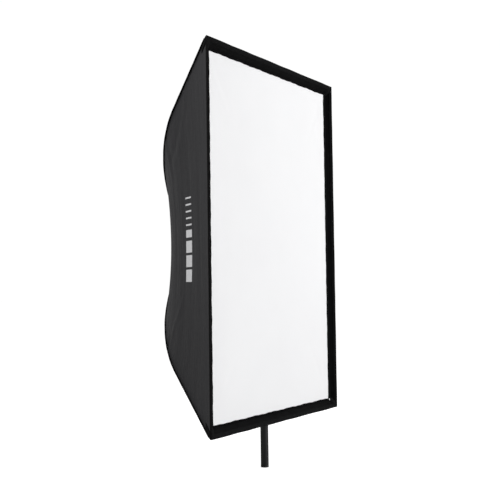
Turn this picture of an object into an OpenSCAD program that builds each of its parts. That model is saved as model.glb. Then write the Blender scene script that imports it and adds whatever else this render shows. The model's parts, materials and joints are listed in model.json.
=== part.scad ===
// Umbrella-type softbox with a rectangular face, on the top of a light stand.
// Z is up, the lit face looks along -Y, and the origin is the stand tube's cut lower end.

/* [Box] */
// Width of the front rim
face_w = 600; // [500:1:720]
// Height of the front rim
face_h = 900; // [750:1:1080]
// Depth from the crown of the ribs to the front rim
box_depth = 285; // [240:1:340]
// Bend radius of a rib in its middle stretch
rib_bend_r = 400; // [340:1:440]
// Angle between a rib's front stretch and the box axis
rib_tip_angle = 44; // [38:1:48]
// Thickness of the outer cloth
cloth_t = 1.5; // [1:0.1:2]
// How far the middle of a panel sinks between its ribs
panel_sag = 18; // [0:1:30]
// How far the diffuser sits behind the front rim
lip_depth = 14; // [12:1:30]
// Width of the black border between the rim and the white cloth
border_w = 27; // [24:1:45]

/* [Ribs and stretchers] */
// Diameter of a rib rod
rib_d = 4; // [3:0.1:5]
// Radius from the shaft axis to the rib hinges in the crown
hinge_r = 14; // [13:0.5:18]
// Distance along a rib from its hinge to its stretcher clip
clip_at = 70; // [55:1:75]
// Length of a stretcher between its two pivots
stretcher_len = 82; // [74:1:92]
// Radius from the shaft axis to the stretcher pivots in the runner
runner_r = 13; // [12:0.5:16]

/* [Shaft and bracket] */
// Diameter of the shaft
shaft_d = 8; // [7:0.5:10]
// Height of the shaft above the tube's lower end
shaft_z = 566; // [480:1:680]
// Distance from the stand's axis forward to the front rim
tube_setback = 52; // [50:1:60]
// Outer diameter of the stand tube
tube_d = 20; // [18:0.5:25]
// Wall of the stand tube
tube_wall = 1.5; // [1:0.1:2]
// Diameter of the spigot that the bracket sits on
spigot_d = 16; // [14:0.5:17]
// Height of the tilt pivot below the shaft
tilt_drop = 46; // [42:1:60]
// Width of the clamp block
head_w = 30; // [28:1:40]

/* [Slit] */
// Half the width of the open slit
slit_half = 14; // [13:0.5:18]
// Where the slit ends at the back, as a share of the panel's length
slit_rear = 0.405; // [0.38:0.005:0.5]
// Where the slit ends in front, as a share of the panel's length
slit_front = 0.945; // [0.92:0.005:0.955]

/* [Fits] */
// Radial clearance of a turning or sliding fit
run_gap = 0.05; // [0.02:0.01:0.09]
// Clearance between faces that pass each other
side_gap = 0.3; // [0.2:0.05:0.5]
// Gap between two cloth panels at a seam
seam_gap = 1.2; // [0.8:0.1:2]

/* [Hidden] */
$fn = 48;

// ---- The box's outline, in the radial plane that a rib lies in ----
// A point is [distance from the shaft axis, distance forward from the crown].
half_w = face_w / 2;
half_h = face_h / 2;
rib_azimuth = atan2(half_h, half_w);
corner_r = norm([half_w, half_h]);
crown_y = box_depth - tube_setback;
rim_y = -tube_setback;
// The outline runs straight out, then along the bend, then straight to the corner.
bend_len = rib_bend_r * (90 - rib_tip_angle) * PI / 180;
front_len = (box_depth - rib_bend_r * (1 - sin(rib_tip_angle))) / cos(rib_tip_angle);
back_len = corner_r - hinge_r - rib_bend_r * cos(rib_tip_angle)
    - front_len * sin(rib_tip_angle);
outline_len = back_len + bend_len + front_len;
bend_end = [hinge_r + back_len + rib_bend_r * cos(rib_tip_angle),
    rib_bend_r * (1 - sin(rib_tip_angle))];

// Angle to the axis of the outline's direction at the length s.
function course(s) =
    s < back_len ? 90
    : s < back_len + bend_len ? 90 - (s - back_len) / rib_bend_r * 180 / PI
    : rib_tip_angle;

// Point at the length s, moved outwards by off.
function outline(s, off = 0) =
    let (c = course(s))
    let (base =
        s < back_len ? [hinge_r + s, 0]
        : s < back_len + bend_len
            ? [hinge_r + back_len + rib_bend_r * cos(c), rib_bend_r * (1 - sin(c))]
        : bend_end + (s - back_len - bend_len) * [sin(c), cos(c)])
    base + off * [cos(c), -sin(c)];

// ---- Cloth ----
crown_d = 40;
patch_d = 84;
cloth_start = (crown_d / 2 + 2 * side_gap) / cos(rib_azimuth) - hinge_r;
lining_t = 0.9;
lining_gap = 0.3;
hem_w = 3.6;
lip_lean = 25;
lip_t = 2.2;
slit_turn = 0.01;
rows_across = 5;
diffuser_t = 0.8;
band_t = 0.8;
diffuser_y = rim_y + lip_depth;

// A panel's own scale from the radial plane to its middle: [out, along].
function panel_scale(side) = side
    ? [cos(rib_azimuth), sin(rib_azimuth)]
    : [sin(rib_azimuth), cos(rib_azimuth)];

// Shares of the length at which a panel has points, closer together at the slit's ends.
panel_rows = concat(
    [for (i = [0:5]) slit_rear * i / 5],
    [for (i = [0:6])
        slit_rear + slit_turn + (slit_front - slit_rear - 2 * slit_turn) * i / 6],
    [slit_front, 1]);
lining_rows = [for (u = panel_rows) if (u < slit_front) u];

// Sag in the radial plane at share u of the length and share v from rib to middle.
function sag_at(u, v, side) =
    let (k = panel_scale(side)[0], c = course(cloth_start + u * (outline_len - cloth_start)))
    panel_sag / k * norm([cos(c), k * sin(c)]) * sin(180 * u) * (1 - (1 - v) * (1 - v));

// Half the gap that a panel leaves at its middle line.
function middle_gap(u, slit) =
    slit && u > slit_rear && u < slit_front ? slit_half : seam_gap / 2;

// Point of a panel in the upper right quarter, from its outline point [r, forward].
function on_panel(p, v, side, gap) =
    let (k = panel_scale(side), out = k[0] * p[0], far = out * k[1] / k[0] - seam_gap / k[0])
    let (along = gap + (far - gap) * (1 - v))
    side ? [out, crown_y - p[1], along] : [along, crown_y - p[1], out];

function skin_point(u, v, side, off, slit = false) = on_panel(
    outline(cloth_start + u * (outline_len - cloth_start), off - sag_at(u, v, side)),
    v, side, middle_gap(u, slit));

// The turned-in front lip, as [in from the corner, back from the rim]: its front and its back.
lip_front = [[hem_w, 0], [lip_lean, lip_depth]];
lip_back = [[hem_w + 1.6, 3.2], [hem_w + 3.75, 5], [lip_lean - lip_t, lip_depth]];

function lip_points(list, v, side) =
    [for (p = list) on_panel([corner_r - p[0], box_depth - p[1]], v, side, seam_gap / 2)];

// One section of a panel as two equal rows of points: its front skin and its back skin.
function panel_section(v, side, slit) = [
    concat([for (u = panel_rows) skin_point(u, v, side, 0, slit)],
        lip_points(lip_front, v, side)),
    concat([for (i = [0:len(panel_rows) - 2]) skin_point(panel_rows[i], v, side, -cloth_t, slit)],
        lip_points(lip_back, v, side))];

function lining_section(v, side, slit) =
    let (a = -cloth_t - lining_gap)
    [[for (u = lining_rows) skin_point(u, v, side, a, slit)],
     [for (u = lining_rows) skin_point(u, v, side, a - lining_t, slit)]];

// A solid through sections, each of two equal rows; quads between the rows close its ends.
module loft(sections) {
    m = len(sections);
    h = len(sections[0][0]);
    n = 2 * h;
    function quad(a, b, c, d) = [[a, b, c], [a, c, d]];
    // Both skins have their quads split the same way, so that two layers stay parallel.
    function ring_quad(j, i) =
        let (a = j * n + i, b = a + n, d = j * n + (i + 1) % n, c = d + n)
        i < h ? quad(a, b, c, d) : quad(b, c, d, a);
    polyhedron(
        points = [for (s = sections) each concat(s[0], [for (i = [h - 1:-1:0]) s[1][i]])],
        faces = concat(
            [for (j = [0:m - 2], i = [0:n - 1]) each ring_quad(j, i)],
            [for (i = [0:h - 2]) each quad(i, i + 1, n - 2 - i, n - 1 - i)],
            [for (i = [0:h - 2], o = [(m - 1) * n])
                each quad(o + n - 1 - i, o + n - 2 - i, o + i + 1, o + i)]));
}

// Places children drawn in the upper right quarter into any quarter.
module quarter(x_sign, z_sign) {
    translate([0, 0, shaft_z])
        mirror([x_sign < 0 ? 1 : 0, 0, 0])
            mirror([0, 0, z_sign < 0 ? 1 : 0])
                children();
}

// Turns [radial, forward, tangential] drawing axes into the quarter's rib plane.
module rib_plane() {
    rotate([0, -rib_azimuth, 0])
        children();
}

module cloth_panel(side, slit = false) {
    color([0.17, 0.17, 0.18])
        loft([for (j = [0:rows_across])
            panel_section(side ? 1 - j / rows_across : j / rows_across, side, slit)]);
}

module cloth_lining(side, slit = false) {
    color([0.78, 0.79, 0.8])
        loft([for (j = [0:rows_across])
            lining_section(side ? 1 - j / rows_across : j / rows_across, side, slit)]);
}

module front_diffuser() {
    w = half_w - lip_lean * cos(rib_azimuth) - 2 * side_gap;
    h = half_h - lip_lean * sin(rib_azimuth) - 2 * side_gap;
    color("white")
        translate([-w, diffuser_y, shaft_z - h])
            cube([2 * w, diffuser_t, 2 * h]);
}

module front_band() {
    w = half_w - lip_lean * cos(rib_azimuth) - 4 * side_gap;
    h = half_h - lip_lean * sin(rib_azimuth) - 4 * side_gap;
    iw = half_w - border_w;
    ih = half_h - border_w;
    color([0.08, 0.08, 0.08])
        translate([0, diffuser_y - side_gap, shaft_z])
            rotate([90, 0, 0])
                linear_extrude(band_t)
                    difference() {
                        square([2 * w, 2 * h], center = true);
                        square([2 * iw, 2 * ih], center = true);
                    }
}

module crown_patch() {
    color([0.12, 0.12, 0.13])
        translate([0, crown_y + side_gap, shaft_z])
            rotate([-90, 0, 0])
                difference() {
                    cylinder(h = cloth_t, d = patch_d);
                    translate([0, 0, -1]) cylinder(h = cloth_t + 2, d = shaft_d + 3);
                }
}

// ---- Zip along the slit ----
zip_w = 5;
zip_t = 1.2;
zip_closed_from = slit_rear - 0.11;
zip_rows = 12;

function zip_section(u) =
    let (inner = u < slit_rear ? seam_gap / 2 : slit_half)
    let (low = skin_point(u, 1, false, side_gap), high = skin_point(u, 1, false, side_gap + zip_t))
    [[[inner, low[1], low[2]], [inner + zip_w, low[1], low[2]]],
     [[inner, high[1], high[2]], [inner + zip_w, high[1], high[2]]]];

module zip_tape(x_sign) {
    color([0.05, 0.05, 0.05])
        quarter(x_sign, -1)
            loft([for (i = [0:zip_rows])
                zip_section(zip_closed_from + (slit_front - zip_closed_from) * i / zip_rows)]);
}

// The slider waits at the back end of the open slit, outside the cloth.
zip_slider_t = 3;
module zip_slider() {
    at = skin_point(slit_rear - 0.02, 1, false, 2 * side_gap + zip_t + 1);
    ahead = skin_point(slit_rear - 0.13, 1, false, 2 * side_gap + zip_t + 1);
    color([0.3, 0.3, 0.32])
        quarter(1, -1)
            translate([0, at[1], at[2]])
                rotate([atan2(ahead[2] - at[2], ahead[1] - at[1]), 0, 0]) {
                    translate([-5, -7, 0]) cube([10, 14, zip_slider_t]);
                    translate([0, -4, zip_slider_t]) cube([2, 8, 2]);
                    difference() {
                        translate([-3.5, -26, zip_slider_t + 2]) cube([7, 30, 1.4]);
                        translate([0, -21, zip_slider_t]) cylinder(h = 5, d = 4);
                    }
                }
}

// ---- Ribs ----
// The rods run this far inside the cloth's outline.
rod_inset = 8;
hinge_y = crown_y - rod_inset;
tongue_t = 3;
tongue_d = 8;
ferrule_d = 6;
ferrule_from = 12;
ferrule_len = 16;
sleeve_len = 8;
hinge_pin_d = 3;
tip_d = 6;
tip_len = 16;
tip_behind_rim = lip_depth + 10;
rod_front_len = front_len - (tip_behind_rim + tip_d / 2 + rod_inset * sin(rib_tip_angle))
    / cos(rib_tip_angle);

// Places children at the front stretch's start, with +Z along the rod.
module rod_front(off) {
    p = outline(back_len + bend_len, off);
    translate([p[0], crown_y - p[1], 0])
        rotate([0, 0, rib_tip_angle - 90])
            rotate([0, 90, 0])
                children();
}

module bend_at(off) {
    translate([hinge_r + back_len, crown_y - rib_bend_r, 0])
        rotate([0, 0, rib_tip_angle])
            rotate_extrude(angle = 90 - rib_tip_angle, $fn = 96)
                translate([rib_bend_r + off, 0])
                    children();
}

// A sleeve that joins two stretches of a rod, centred on the origin.
module rod_sleeve() {
    cylinder(h = sleeve_len, d = rib_d + 1, center = true);
}

module rib() {
    color([0.55, 0.56, 0.58])
        rib_plane()
            difference() {
                union() {
                    translate([hinge_r + ferrule_from + 4, hinge_y, 0])
                        rotate([0, 90, 0])
                            cylinder(h = back_len - ferrule_from - 4, d = rib_d);
                    bend_at(-rod_inset) circle(d = rib_d);
                    rod_front(-rod_inset) cylinder(h = rod_front_len, d = rib_d);
                    rod_front(-rod_inset) rod_sleeve();
                    translate([hinge_r + back_len + 4, hinge_y, 0])
                        rotate([0, 90, 0])
                            rod_sleeve();
                    translate([hinge_r + ferrule_from, hinge_y, 0])
                        rotate([0, 90, 0])
                            cylinder(h = ferrule_len, d = ferrule_d);
                    translate([hinge_r, hinge_y - 2.5, -tongue_t / 2])
                        cube([ferrule_from + 2, 5, tongue_t]);
                    translate([hinge_r, hinge_y, -tongue_t / 2])
                        cylinder(h = tongue_t, d = tongue_d);
                }
                translate([hinge_r, hinge_y, -tongue_t])
                    cylinder(h = 2 * tongue_t, d = hinge_pin_d + 2 * run_gap);
            }
}

module rib_tip() {
    color([0.1, 0.1, 0.1])
        rib_plane()
            rod_front(-rod_inset)
                translate([0, 0, rod_front_len - tip_len + 4])
                    difference() {
                        union() {
                            cylinder(h = tip_len - 4, d = tip_d);
                            translate([0, 0, tip_len - 4]) sphere(d = tip_d);
                        }
                        translate([0, 0, -1])
                            cylinder(h = tip_len - 3, d = rib_d + 2 * run_gap);
                    }
}

// Piping sewn over the corner, from the crown patch to the rim.
seam_w = 3;
seam_t = 1.6;
seam_lift = 0.5;
seam_lap = 0.5;
module corner_seam() {
    start = patch_d / 2 + 2 - hinge_r;
    color([0.06, 0.06, 0.06])
        rib_plane() {
            translate([hinge_r + start, crown_y + seam_lift, -seam_w / 2])
                cube([back_len - start, seam_t, seam_w]);
            bend_at(seam_lift)
                translate([0, -seam_w / 2])
                    square([seam_t, seam_w]);
            rod_front(seam_lift)
                translate([-seam_w / 2, 0, -seam_lap])
                    cube([seam_w, seam_t, front_len + seam_lap]);
        }
}

// ---- Stretchers: their pivots at rest, as [radial, forward] ----
clip_drop = 6;
clip_w = 6;
pivot_rib = [hinge_r + clip_at, rod_inset + clip_drop];
pivot_run = [runner_r, pivot_rib[1]
    + sqrt(stretcher_len * stretcher_len - pow(pivot_rib[0] - runner_r, 2))];
stretcher_tilt = atan2(pivot_run[1] - pivot_rib[1], pivot_rib[0] - pivot_run[0]);
lug_d = 7;
cheek_t = 1.6;
runner_pin_d = 2.5;
runner_tongue_t = 2.6;
runner_tongue_d = 7;

module rib_clip() {
    color([0.12, 0.12, 0.12])
        rib_plane()
            difference() {
                union() {
                    translate([pivot_rib[0] - 8, hinge_y, 0])
                        rotate([0, 90, 0])
                            cylinder(h = 16, d = rib_d + 2.4);
                    translate([pivot_rib[0] - lug_d / 2, hinge_y - clip_drop, -clip_w / 2])
                        cube([lug_d, clip_drop, clip_w]);
                    translate([pivot_rib[0], hinge_y - clip_drop, -clip_w / 2])
                        cylinder(h = clip_w, d = lug_d);
                }
                translate([pivot_rib[0] - 9, hinge_y, 0])
                    rotate([0, 90, 0])
                        cylinder(h = 18, d = rib_d + 2 * run_gap);
            }
}

module stretcher() {
    cheek_z = clip_w / 2 + 2 * side_gap;
    color([0.6, 0.61, 0.63])
        rib_plane()
            translate([pivot_run[0], crown_y - pivot_run[1], 0])
                rotate([0, 0, stretcher_tilt])
                    difference() {
                        union() {
                            translate([0, 0, -runner_tongue_t / 2])
                                cylinder(h = runner_tongue_t, d = runner_tongue_d);
                            translate([0, -2.2, -runner_tongue_t / 2])
                                cube([14, 4.4, runner_tongue_t]);
                            translate([12, 0, 0])
                                rotate([0, 90, 0])
                                    cylinder(h = stretcher_len - 22, d = 5);
                            translate([stretcher_len - 12, -2.5, -cheek_z - cheek_t])
                                cube([4, 5, 2 * (cheek_z + cheek_t)]);
                            for (z = [-cheek_z - cheek_t, cheek_z]) {
                                translate([stretcher_len - 9, -2.5, z])
                                    cube([9, 5, cheek_t]);
                                translate([stretcher_len, 0, z])
                                    cylinder(h = cheek_t, d = lug_d);
                            }
                            for (z = [-cheek_z - cheek_t - 1, cheek_z + cheek_t])
                                translate([stretcher_len, 0, z])
                                    cylinder(h = 1, d = 4.4);
                        }
                        translate([0, 0, -runner_tongue_t])
                            cylinder(h = 2 * runner_tongue_t, d = runner_pin_d + 2 * run_gap);
                    }
}

// ---- Crown, at the back end of the shaft ----
crown_back = 1;
crown_front = rod_inset + 5;

// Draws children with +Z along the shaft towards the front and Z = 0 at the crown.
module along_shaft() {
    translate([0, crown_y, shaft_z])
        rotate([90, 0, 0])
            children();
}

// Repeats a radial-plane drawing for the four ribs.
module each_rib() {
    for (x_sign = [-1, 1], z_sign = [-1, 1])
        quarter(x_sign, z_sign)
            rib_plane()
                children();
}

module crown() {
    color([0.09, 0.09, 0.1])
        difference() {
            along_shaft()
                translate([0, 0, crown_back])
                    cylinder(h = crown_front - crown_back, d = crown_d);
            along_shaft()
                cylinder(h = 40, d = shaft_d + 2 * run_gap);
            each_rib() {
                slot = tongue_t + 2 * side_gap;
                translate([hinge_r - tongue_d / 2 - 1, crown_y - crown_front - 1, -slot / 2])
                    cube([crown_d, crown_front + 1 - (rod_inset - tongue_d / 2 - 1), slot]);
                translate([hinge_r, hinge_y, -5])
                    cylinder(h = 10, d = hinge_pin_d + 2 * run_gap);
            }
        }
}

module crown_pins() {
    color("silver")
        each_rib()
            translate([hinge_r, hinge_y, -4.6])
                cylinder(h = 9.2, d = hinge_pin_d);
}

shaft_behind_crown = 10;
nut_d = 18;
module crown_nut() {
    color([0.08, 0.08, 0.08])
        along_shaft()
            difference() {
                union() {
                    translate([0, 0, -cloth_t - 8]) cylinder(h = 7.5, d = nut_d);
                    translate([0, 0, -cloth_t - 8]) sphere(d = nut_d - 4);
                }
                translate([0, 0, -shaft_behind_crown])
                    cylinder(h = shaft_behind_crown + 1, d = shaft_d + 2 * run_gap);
            }
}

// ---- Shaft ----
shaft_wall = 1;
shaft_front_y = diffuser_y + diffuser_t + 10;
shaft_len = crown_y - shaft_front_y + shaft_behind_crown;
cap_len = 9;
module shaft() {
    color([0.75, 0.76, 0.78])
        along_shaft()
            translate([0, 0, -shaft_behind_crown])
                difference() {
                    cylinder(h = shaft_len, d = shaft_d);
                    translate([0, 0, -1]) cylinder(h = shaft_len + 2, d = shaft_d - 2 * shaft_wall);
                }
}

module shaft_cap() {
    plug_d = shaft_d - 2 * shaft_wall - 2 * run_gap;
    color([0.08, 0.08, 0.08])
        along_shaft()
            translate([0, 0, shaft_len - shaft_behind_crown]) {
                translate([0, 0, -cap_len]) cylinder(h = cap_len, d = plug_d);
                cylinder(h = 2.5, d = shaft_d + 2);
            }
}

// ---- Runner ----
runner_bore = shaft_d + 2 * run_gap;
flange_d = 2 * runner_r + 10;
flange_back = pivot_run[1] - 6;
flange_front = pivot_run[1] + 8;
sleeve_d = shaft_d + 8;
sleeve_back = flange_back - 4;
sleeve_front = flange_front + 26;
button_d = 6;
button_at = flange_front + 14;
button_travel = 1.5;
button_floor = shaft_d / 2 + 0.8;
button_wall = 2.6;

module runner() {
    slot = runner_tongue_t + 2 * side_gap;
    color([0.09, 0.09, 0.1])
        difference() {
            along_shaft()
                union() {
                    translate([0, 0, flange_back])
                        cylinder(h = flange_front - flange_back, d = flange_d);
                    translate([0, 0, sleeve_back])
                        cylinder(h = sleeve_front - sleeve_back, d = sleeve_d);
                    translate([0, 0, sleeve_front - 4])
                        cylinder(h = 4, d = sleeve_d + 4);
                    translate([-6, 0, button_at - 8])
                        cube([12, sleeve_d / 2 + 4, 16]);
                }
            along_shaft()
                translate([0, 0, sleeve_back - 1])
                    cylinder(h = sleeve_front - sleeve_back + 2, d = runner_bore);
            along_shaft()
                translate([0, button_floor, button_at])
                    rotate([-90, 0, 0])
                        cylinder(h = 20, d = button_d + 2 * run_gap);
            along_shaft()
                translate([-2.4, button_floor, button_at - 6])
                    cube([4.8, 1.2, 12]);
            each_rib() {
                translate([runner_r - runner_tongue_d / 2 - 0.8, crown_y - pivot_run[1]
                    - runner_tongue_d / 2 - 0.8, -slot / 2])
                    cube([flange_d, 30, slot]);
                translate([runner_r, crown_y - pivot_run[1], -5])
                    cylinder(h = 10, d = runner_pin_d + 2 * run_gap);
            }
        }
}

module runner_pins() {
    color("silver")
        each_rib()
            translate([runner_r, crown_y - pivot_run[1], -4.4])
                cylinder(h = 8.8, d = runner_pin_d);
}

module runner_button() {
    color([0.7, 0.1, 0.08])
        along_shaft()
            translate([0, button_floor + 1.4, button_at])
                rotate([-90, 0, 0]) {
                    cylinder(h = sleeve_d / 2 + 4 - button_floor - 1.4 + button_wall, d = button_d);
                }
}

// Bent leaf under the button, held at both ends in the runner's pocket.
module button_leaf() {
    color("silver")
        along_shaft()
            translate([0, button_floor + 0.15, button_at])
                rotate([0, 90, 0])
                    linear_extrude(4, center = true)
                        difference() {
                            polygon([[-5.6, 0], [5.6, 0], [5.6, 0.3], [2, 0.3], [0.8, 1.2],
                                [-0.8, 1.2], [-2, 0.3], [-5.6, 0.3]]);
                            polygon([[-1.6, -0.1], [1.6, -0.1], [0.5, 0.85], [-0.5, 0.85]]);
                        }
}

// ---- Stand tube, spigot and bracket ----
pivot_z = shaft_z - tilt_drop;
fork_r = 13;
socket_depth = 40;
socket_wall = 6;
base_top = pivot_z - fork_r - 3;
base_bottom = base_top - socket_depth - 8;
flange_t = 6;
tube_top = base_bottom - flange_t - side_gap;
spigot_len = 36;
plug_len = 25;
tongue_w = 14;
bolt_d = 8;
cheek_w = 7;
clamp_h = 32;
clamp_depth = 34;

module stand_tube() {
    color([0.07, 0.07, 0.08])
        difference() {
            cylinder(h = tube_top, d = tube_d);
            translate([0, 0, -1]) cylinder(h = tube_top + 2, d = tube_d - 2 * tube_wall);
        }
}

module spigot() {
    color([0.72, 0.73, 0.75])
        translate([0, 0, tube_top])
            difference() {
                union() {
                    translate([0, 0, -plug_len])
                        cylinder(h = plug_len, d = tube_d - 2 * tube_wall - 2 * run_gap);
                    cylinder(h = flange_t, d = tube_d + 2);
                    cylinder(h = flange_t + spigot_len, d = spigot_d);
                }
                translate([0, 0, flange_t + spigot_len - 18])
                    rotate_extrude()
                        translate([spigot_d / 2 - 1, 0])
                            square([3, 9]);
            }
}

module bracket_base() {
    body_d = spigot_d + 2 * socket_wall;
    fork_x = tongue_w / 2 + side_gap;
    color([0.1, 0.1, 0.11])
        difference() {
            union() {
                translate([0, 0, base_bottom]) cylinder(h = base_top - base_bottom, d = body_d);
                for (x = [-fork_x - cheek_w, fork_x]) {
                    translate([x, -fork_r, base_top - 10])
                        cube([cheek_w, 2 * fork_r, pivot_z - base_top + 10]);
                    translate([x, 0, pivot_z])
                        rotate([0, 90, 0])
                            cylinder(h = cheek_w, d = 2 * fork_r);
                }
                translate([0, 0, knob_z])
                    rotate([0, -90, 0])
                        cylinder(h = body_d / 2 + 4, d = 16);
            }
            translate([0, 0, base_bottom - 1])
                cylinder(h = socket_depth + 1, d = spigot_d + 2 * run_gap);
            translate([-fork_x, -30, base_top])
                cube([2 * fork_x, 60, 60]);
            translate([-40, 0, pivot_z])
                rotate([0, 90, 0])
                    cylinder(h = 80, d = bolt_d + 2 * run_gap);
            translate([0, 0, knob_z])
                rotate([0, -90, 0])
                    cylinder(h = 40, d = knob_screw_d + 2 * run_gap);
        }
}

// ---- Knobs: one clamps the socket on the spigot, one the head on the shaft ----
knob_z = base_bottom + 20;
knob_screw_d = 6;
knob_d = 24;
knob_h = 14;
lobe_count = 6;

// A lobed knob with its screw along -Z; the knob's inner face is at Z = 0.
module knob(screw_len) {
    difference() {
        union() {
            cylinder(h = knob_h, d = knob_d);
            translate([0, 0, -4]) cylinder(h = 4, d = 12);
            translate([0, 0, -screw_len]) cylinder(h = screw_len, d = knob_screw_d);
        }
        for (i = [0:lobe_count - 1])
            rotate([0, 0, 360 / lobe_count * i])
                translate([knob_d / 2 + 2.6, 0, -1])
                    cylinder(h = knob_h + 2, d = 9);
        translate([0, 0, knob_h - 1.5]) cylinder(h = 3, d = 9);
    }
}

module socket_knob() {
    seat = spigot_d / 2 + socket_wall + 4;
    color([0.05, 0.05, 0.05])
        translate([-seat - 4 - side_gap, 0, knob_z])
            rotate([0, -90, 0])
                knob(seat + 4 + side_gap - spigot_d / 2 - 0.2);
}

module bracket_head() {
    color([0.1, 0.1, 0.11])
        difference() {
            union() {
                translate([-head_w / 2, -clamp_depth / 2, shaft_z - clamp_h / 2])
                    cube([head_w, clamp_depth, clamp_h]);
                translate([-tongue_w / 2, -11, pivot_z])
                    cube([tongue_w, 22, tilt_drop - clamp_h / 2]);
                translate([-tongue_w / 2, 0, pivot_z])
                    rotate([0, 90, 0])
                        cylinder(h = tongue_w, d = 22);
                translate([0, 0, shaft_z])
                    rotate([0, 90, 0])
                        cylinder(h = head_w / 2 + 4, d = 16);
            }
            translate([0, 30, shaft_z])
                rotate([90, 0, 0])
                    cylinder(h = 60, d = shaft_d + 2 * run_gap);
            translate([-40, 0, pivot_z])
                rotate([0, 90, 0])
                    cylinder(h = 80, d = bolt_d + 2 * run_gap);
            translate([0, 0, shaft_z])
                rotate([0, 90, 0])
                    cylinder(h = 60, d = knob_screw_d + 2 * run_gap);
        }
}

module shaft_knob() {
    seat = head_w / 2 + 4;
    color([0.05, 0.05, 0.05])
        translate([seat + 4 + side_gap, 0, shaft_z])
            rotate([0, 90, 0])
                knob(seat + 4 + side_gap - shaft_d / 2 - 0.2);
}

// The bolt crosses the fork; its head is on the left, its lever on the right.
fork_out = tongue_w / 2 + side_gap + cheek_w;
bolt_head_h = 6;
lever_hub_d = 18;
lever_hub_h = 10;
lever_len = 52;
module tilt_bolt() {
    color("silver")
        translate([0, 0, pivot_z])
            rotate([0, 90, 0]) {
                translate([0, 0, -fork_out - side_gap])
                    cylinder(h = 2 * (fork_out + side_gap) + lever_hub_h - 2, d = bolt_d);
                translate([0, 0, -fork_out - side_gap - bolt_head_h])
                    cylinder(h = bolt_head_h, d = 15, $fn = 6);
            }
}

module tilt_lever() {
    color([0.05, 0.05, 0.05])
        translate([fork_out + side_gap, 0, pivot_z])
            rotate([0, 90, 0])
                difference() {
                    union() {
                        cylinder(h = lever_hub_h, d = lever_hub_d);
                        translate([0, -4.5, 3]) cube([lever_len, 9, 7]);
                        translate([lever_len, 0, 3]) cylinder(h = 7, d = 13);
                    }
                    translate([0, 0, -1])
                        cylinder(h = lever_hub_h - 1, d = bolt_d + 2 * run_gap);
                }
}

// Accessory shoe on top of the head, facing the back of the box.
shoe_w = 18.6;
shoe_slot = 2.2;
shoe_len = 19;
module flash_shoe() {
    top = shaft_z + clamp_h / 2;
    color([0.2, 0.2, 0.21])
        translate([0, 0, top])
            difference() {
                union() {
                    cylinder(h = 6, d = 16);
                    translate([-shoe_w / 2 - 2.5, -shoe_len / 2, 6])
                        cube([shoe_w + 5, shoe_len, 6.2]);
                }
                translate([-shoe_w / 2, -shoe_len / 2 - 1, 8])
                    cube([shoe_w, shoe_len - 1, shoe_slot]);
                translate([-6.3, -shoe_len / 2 - 1, 8])
                    cube([12.6, shoe_len - 1, 10]);
            }
}

stand_tube();
spigot();
bracket_base();
socket_knob();
bracket_head();
tilt_bolt();
tilt_lever();
shaft_knob();
flash_shoe();
shaft();
shaft_cap();
crown();
crown_pins();
crown_nut();
crown_patch();
runner();
runner_pins();
runner_button();
button_leaf();
quarter(1, 1) rib();  // rib_top_right
quarter(-1, 1) rib();  // rib_top_left
quarter(1, -1) rib();  // rib_bottom_right
quarter(-1, -1) rib();  // rib_bottom_left
quarter(1, 1) rib_clip();  // clip_top_right
quarter(-1, 1) rib_clip();  // clip_top_left
quarter(1, -1) rib_clip();  // clip_bottom_right
quarter(-1, -1) rib_clip();  // clip_bottom_left
quarter(1, 1) rib_tip();  // tip_top_right
quarter(-1, 1) rib_tip();  // tip_top_left
quarter(1, -1) rib_tip();  // tip_bottom_right
quarter(-1, -1) rib_tip();  // tip_bottom_left
quarter(1, 1) corner_seam();  // seam_top_right
quarter(-1, 1) corner_seam();  // seam_top_left
quarter(1, -1) corner_seam();  // seam_bottom_right
quarter(-1, -1) corner_seam();  // seam_bottom_left
quarter(1, 1) stretcher();  // stretcher_top_right
quarter(-1, 1) stretcher();  // stretcher_top_left
quarter(1, -1) stretcher();  // stretcher_bottom_right
quarter(-1, -1) stretcher();  // stretcher_bottom_left
quarter(1, 1) cloth_panel(false);  // top_panel_right
quarter(-1, 1) cloth_panel(false);  // top_panel_left
quarter(1, -1) cloth_panel(false, true);  // bottom_panel_right
quarter(-1, -1) cloth_panel(false, true);  // bottom_panel_left
quarter(1, 1) cloth_panel(true);  // right_panel_upper
quarter(-1, 1) cloth_panel(true);  // left_panel_upper
quarter(1, -1) cloth_panel(true);  // right_panel_lower
quarter(-1, -1) cloth_panel(true);  // left_panel_lower
quarter(1, 1) cloth_lining(false);  // top_lining_right
quarter(-1, 1) cloth_lining(false);  // top_lining_left
quarter(1, -1) cloth_lining(false, true);  // bottom_lining_right
quarter(-1, -1) cloth_lining(false, true);  // bottom_lining_left
quarter(1, 1) cloth_lining(true);  // right_lining_upper
quarter(-1, 1) cloth_lining(true);  // left_lining_upper
quarter(1, -1) cloth_lining(true);  // right_lining_lower
quarter(-1, -1) cloth_lining(true);  // left_lining_lower
front_diffuser();
front_band();
zip_tape(1);  // zip_right
zip_tape(-1);  // zip_left
zip_slider();
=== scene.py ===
import json
import math

import bmesh
import bpy
import numpy as np
from bpy.props import FloatProperty, FloatVectorProperty, IntProperty, PointerProperty
from mathutils import Matrix, Vector


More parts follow.
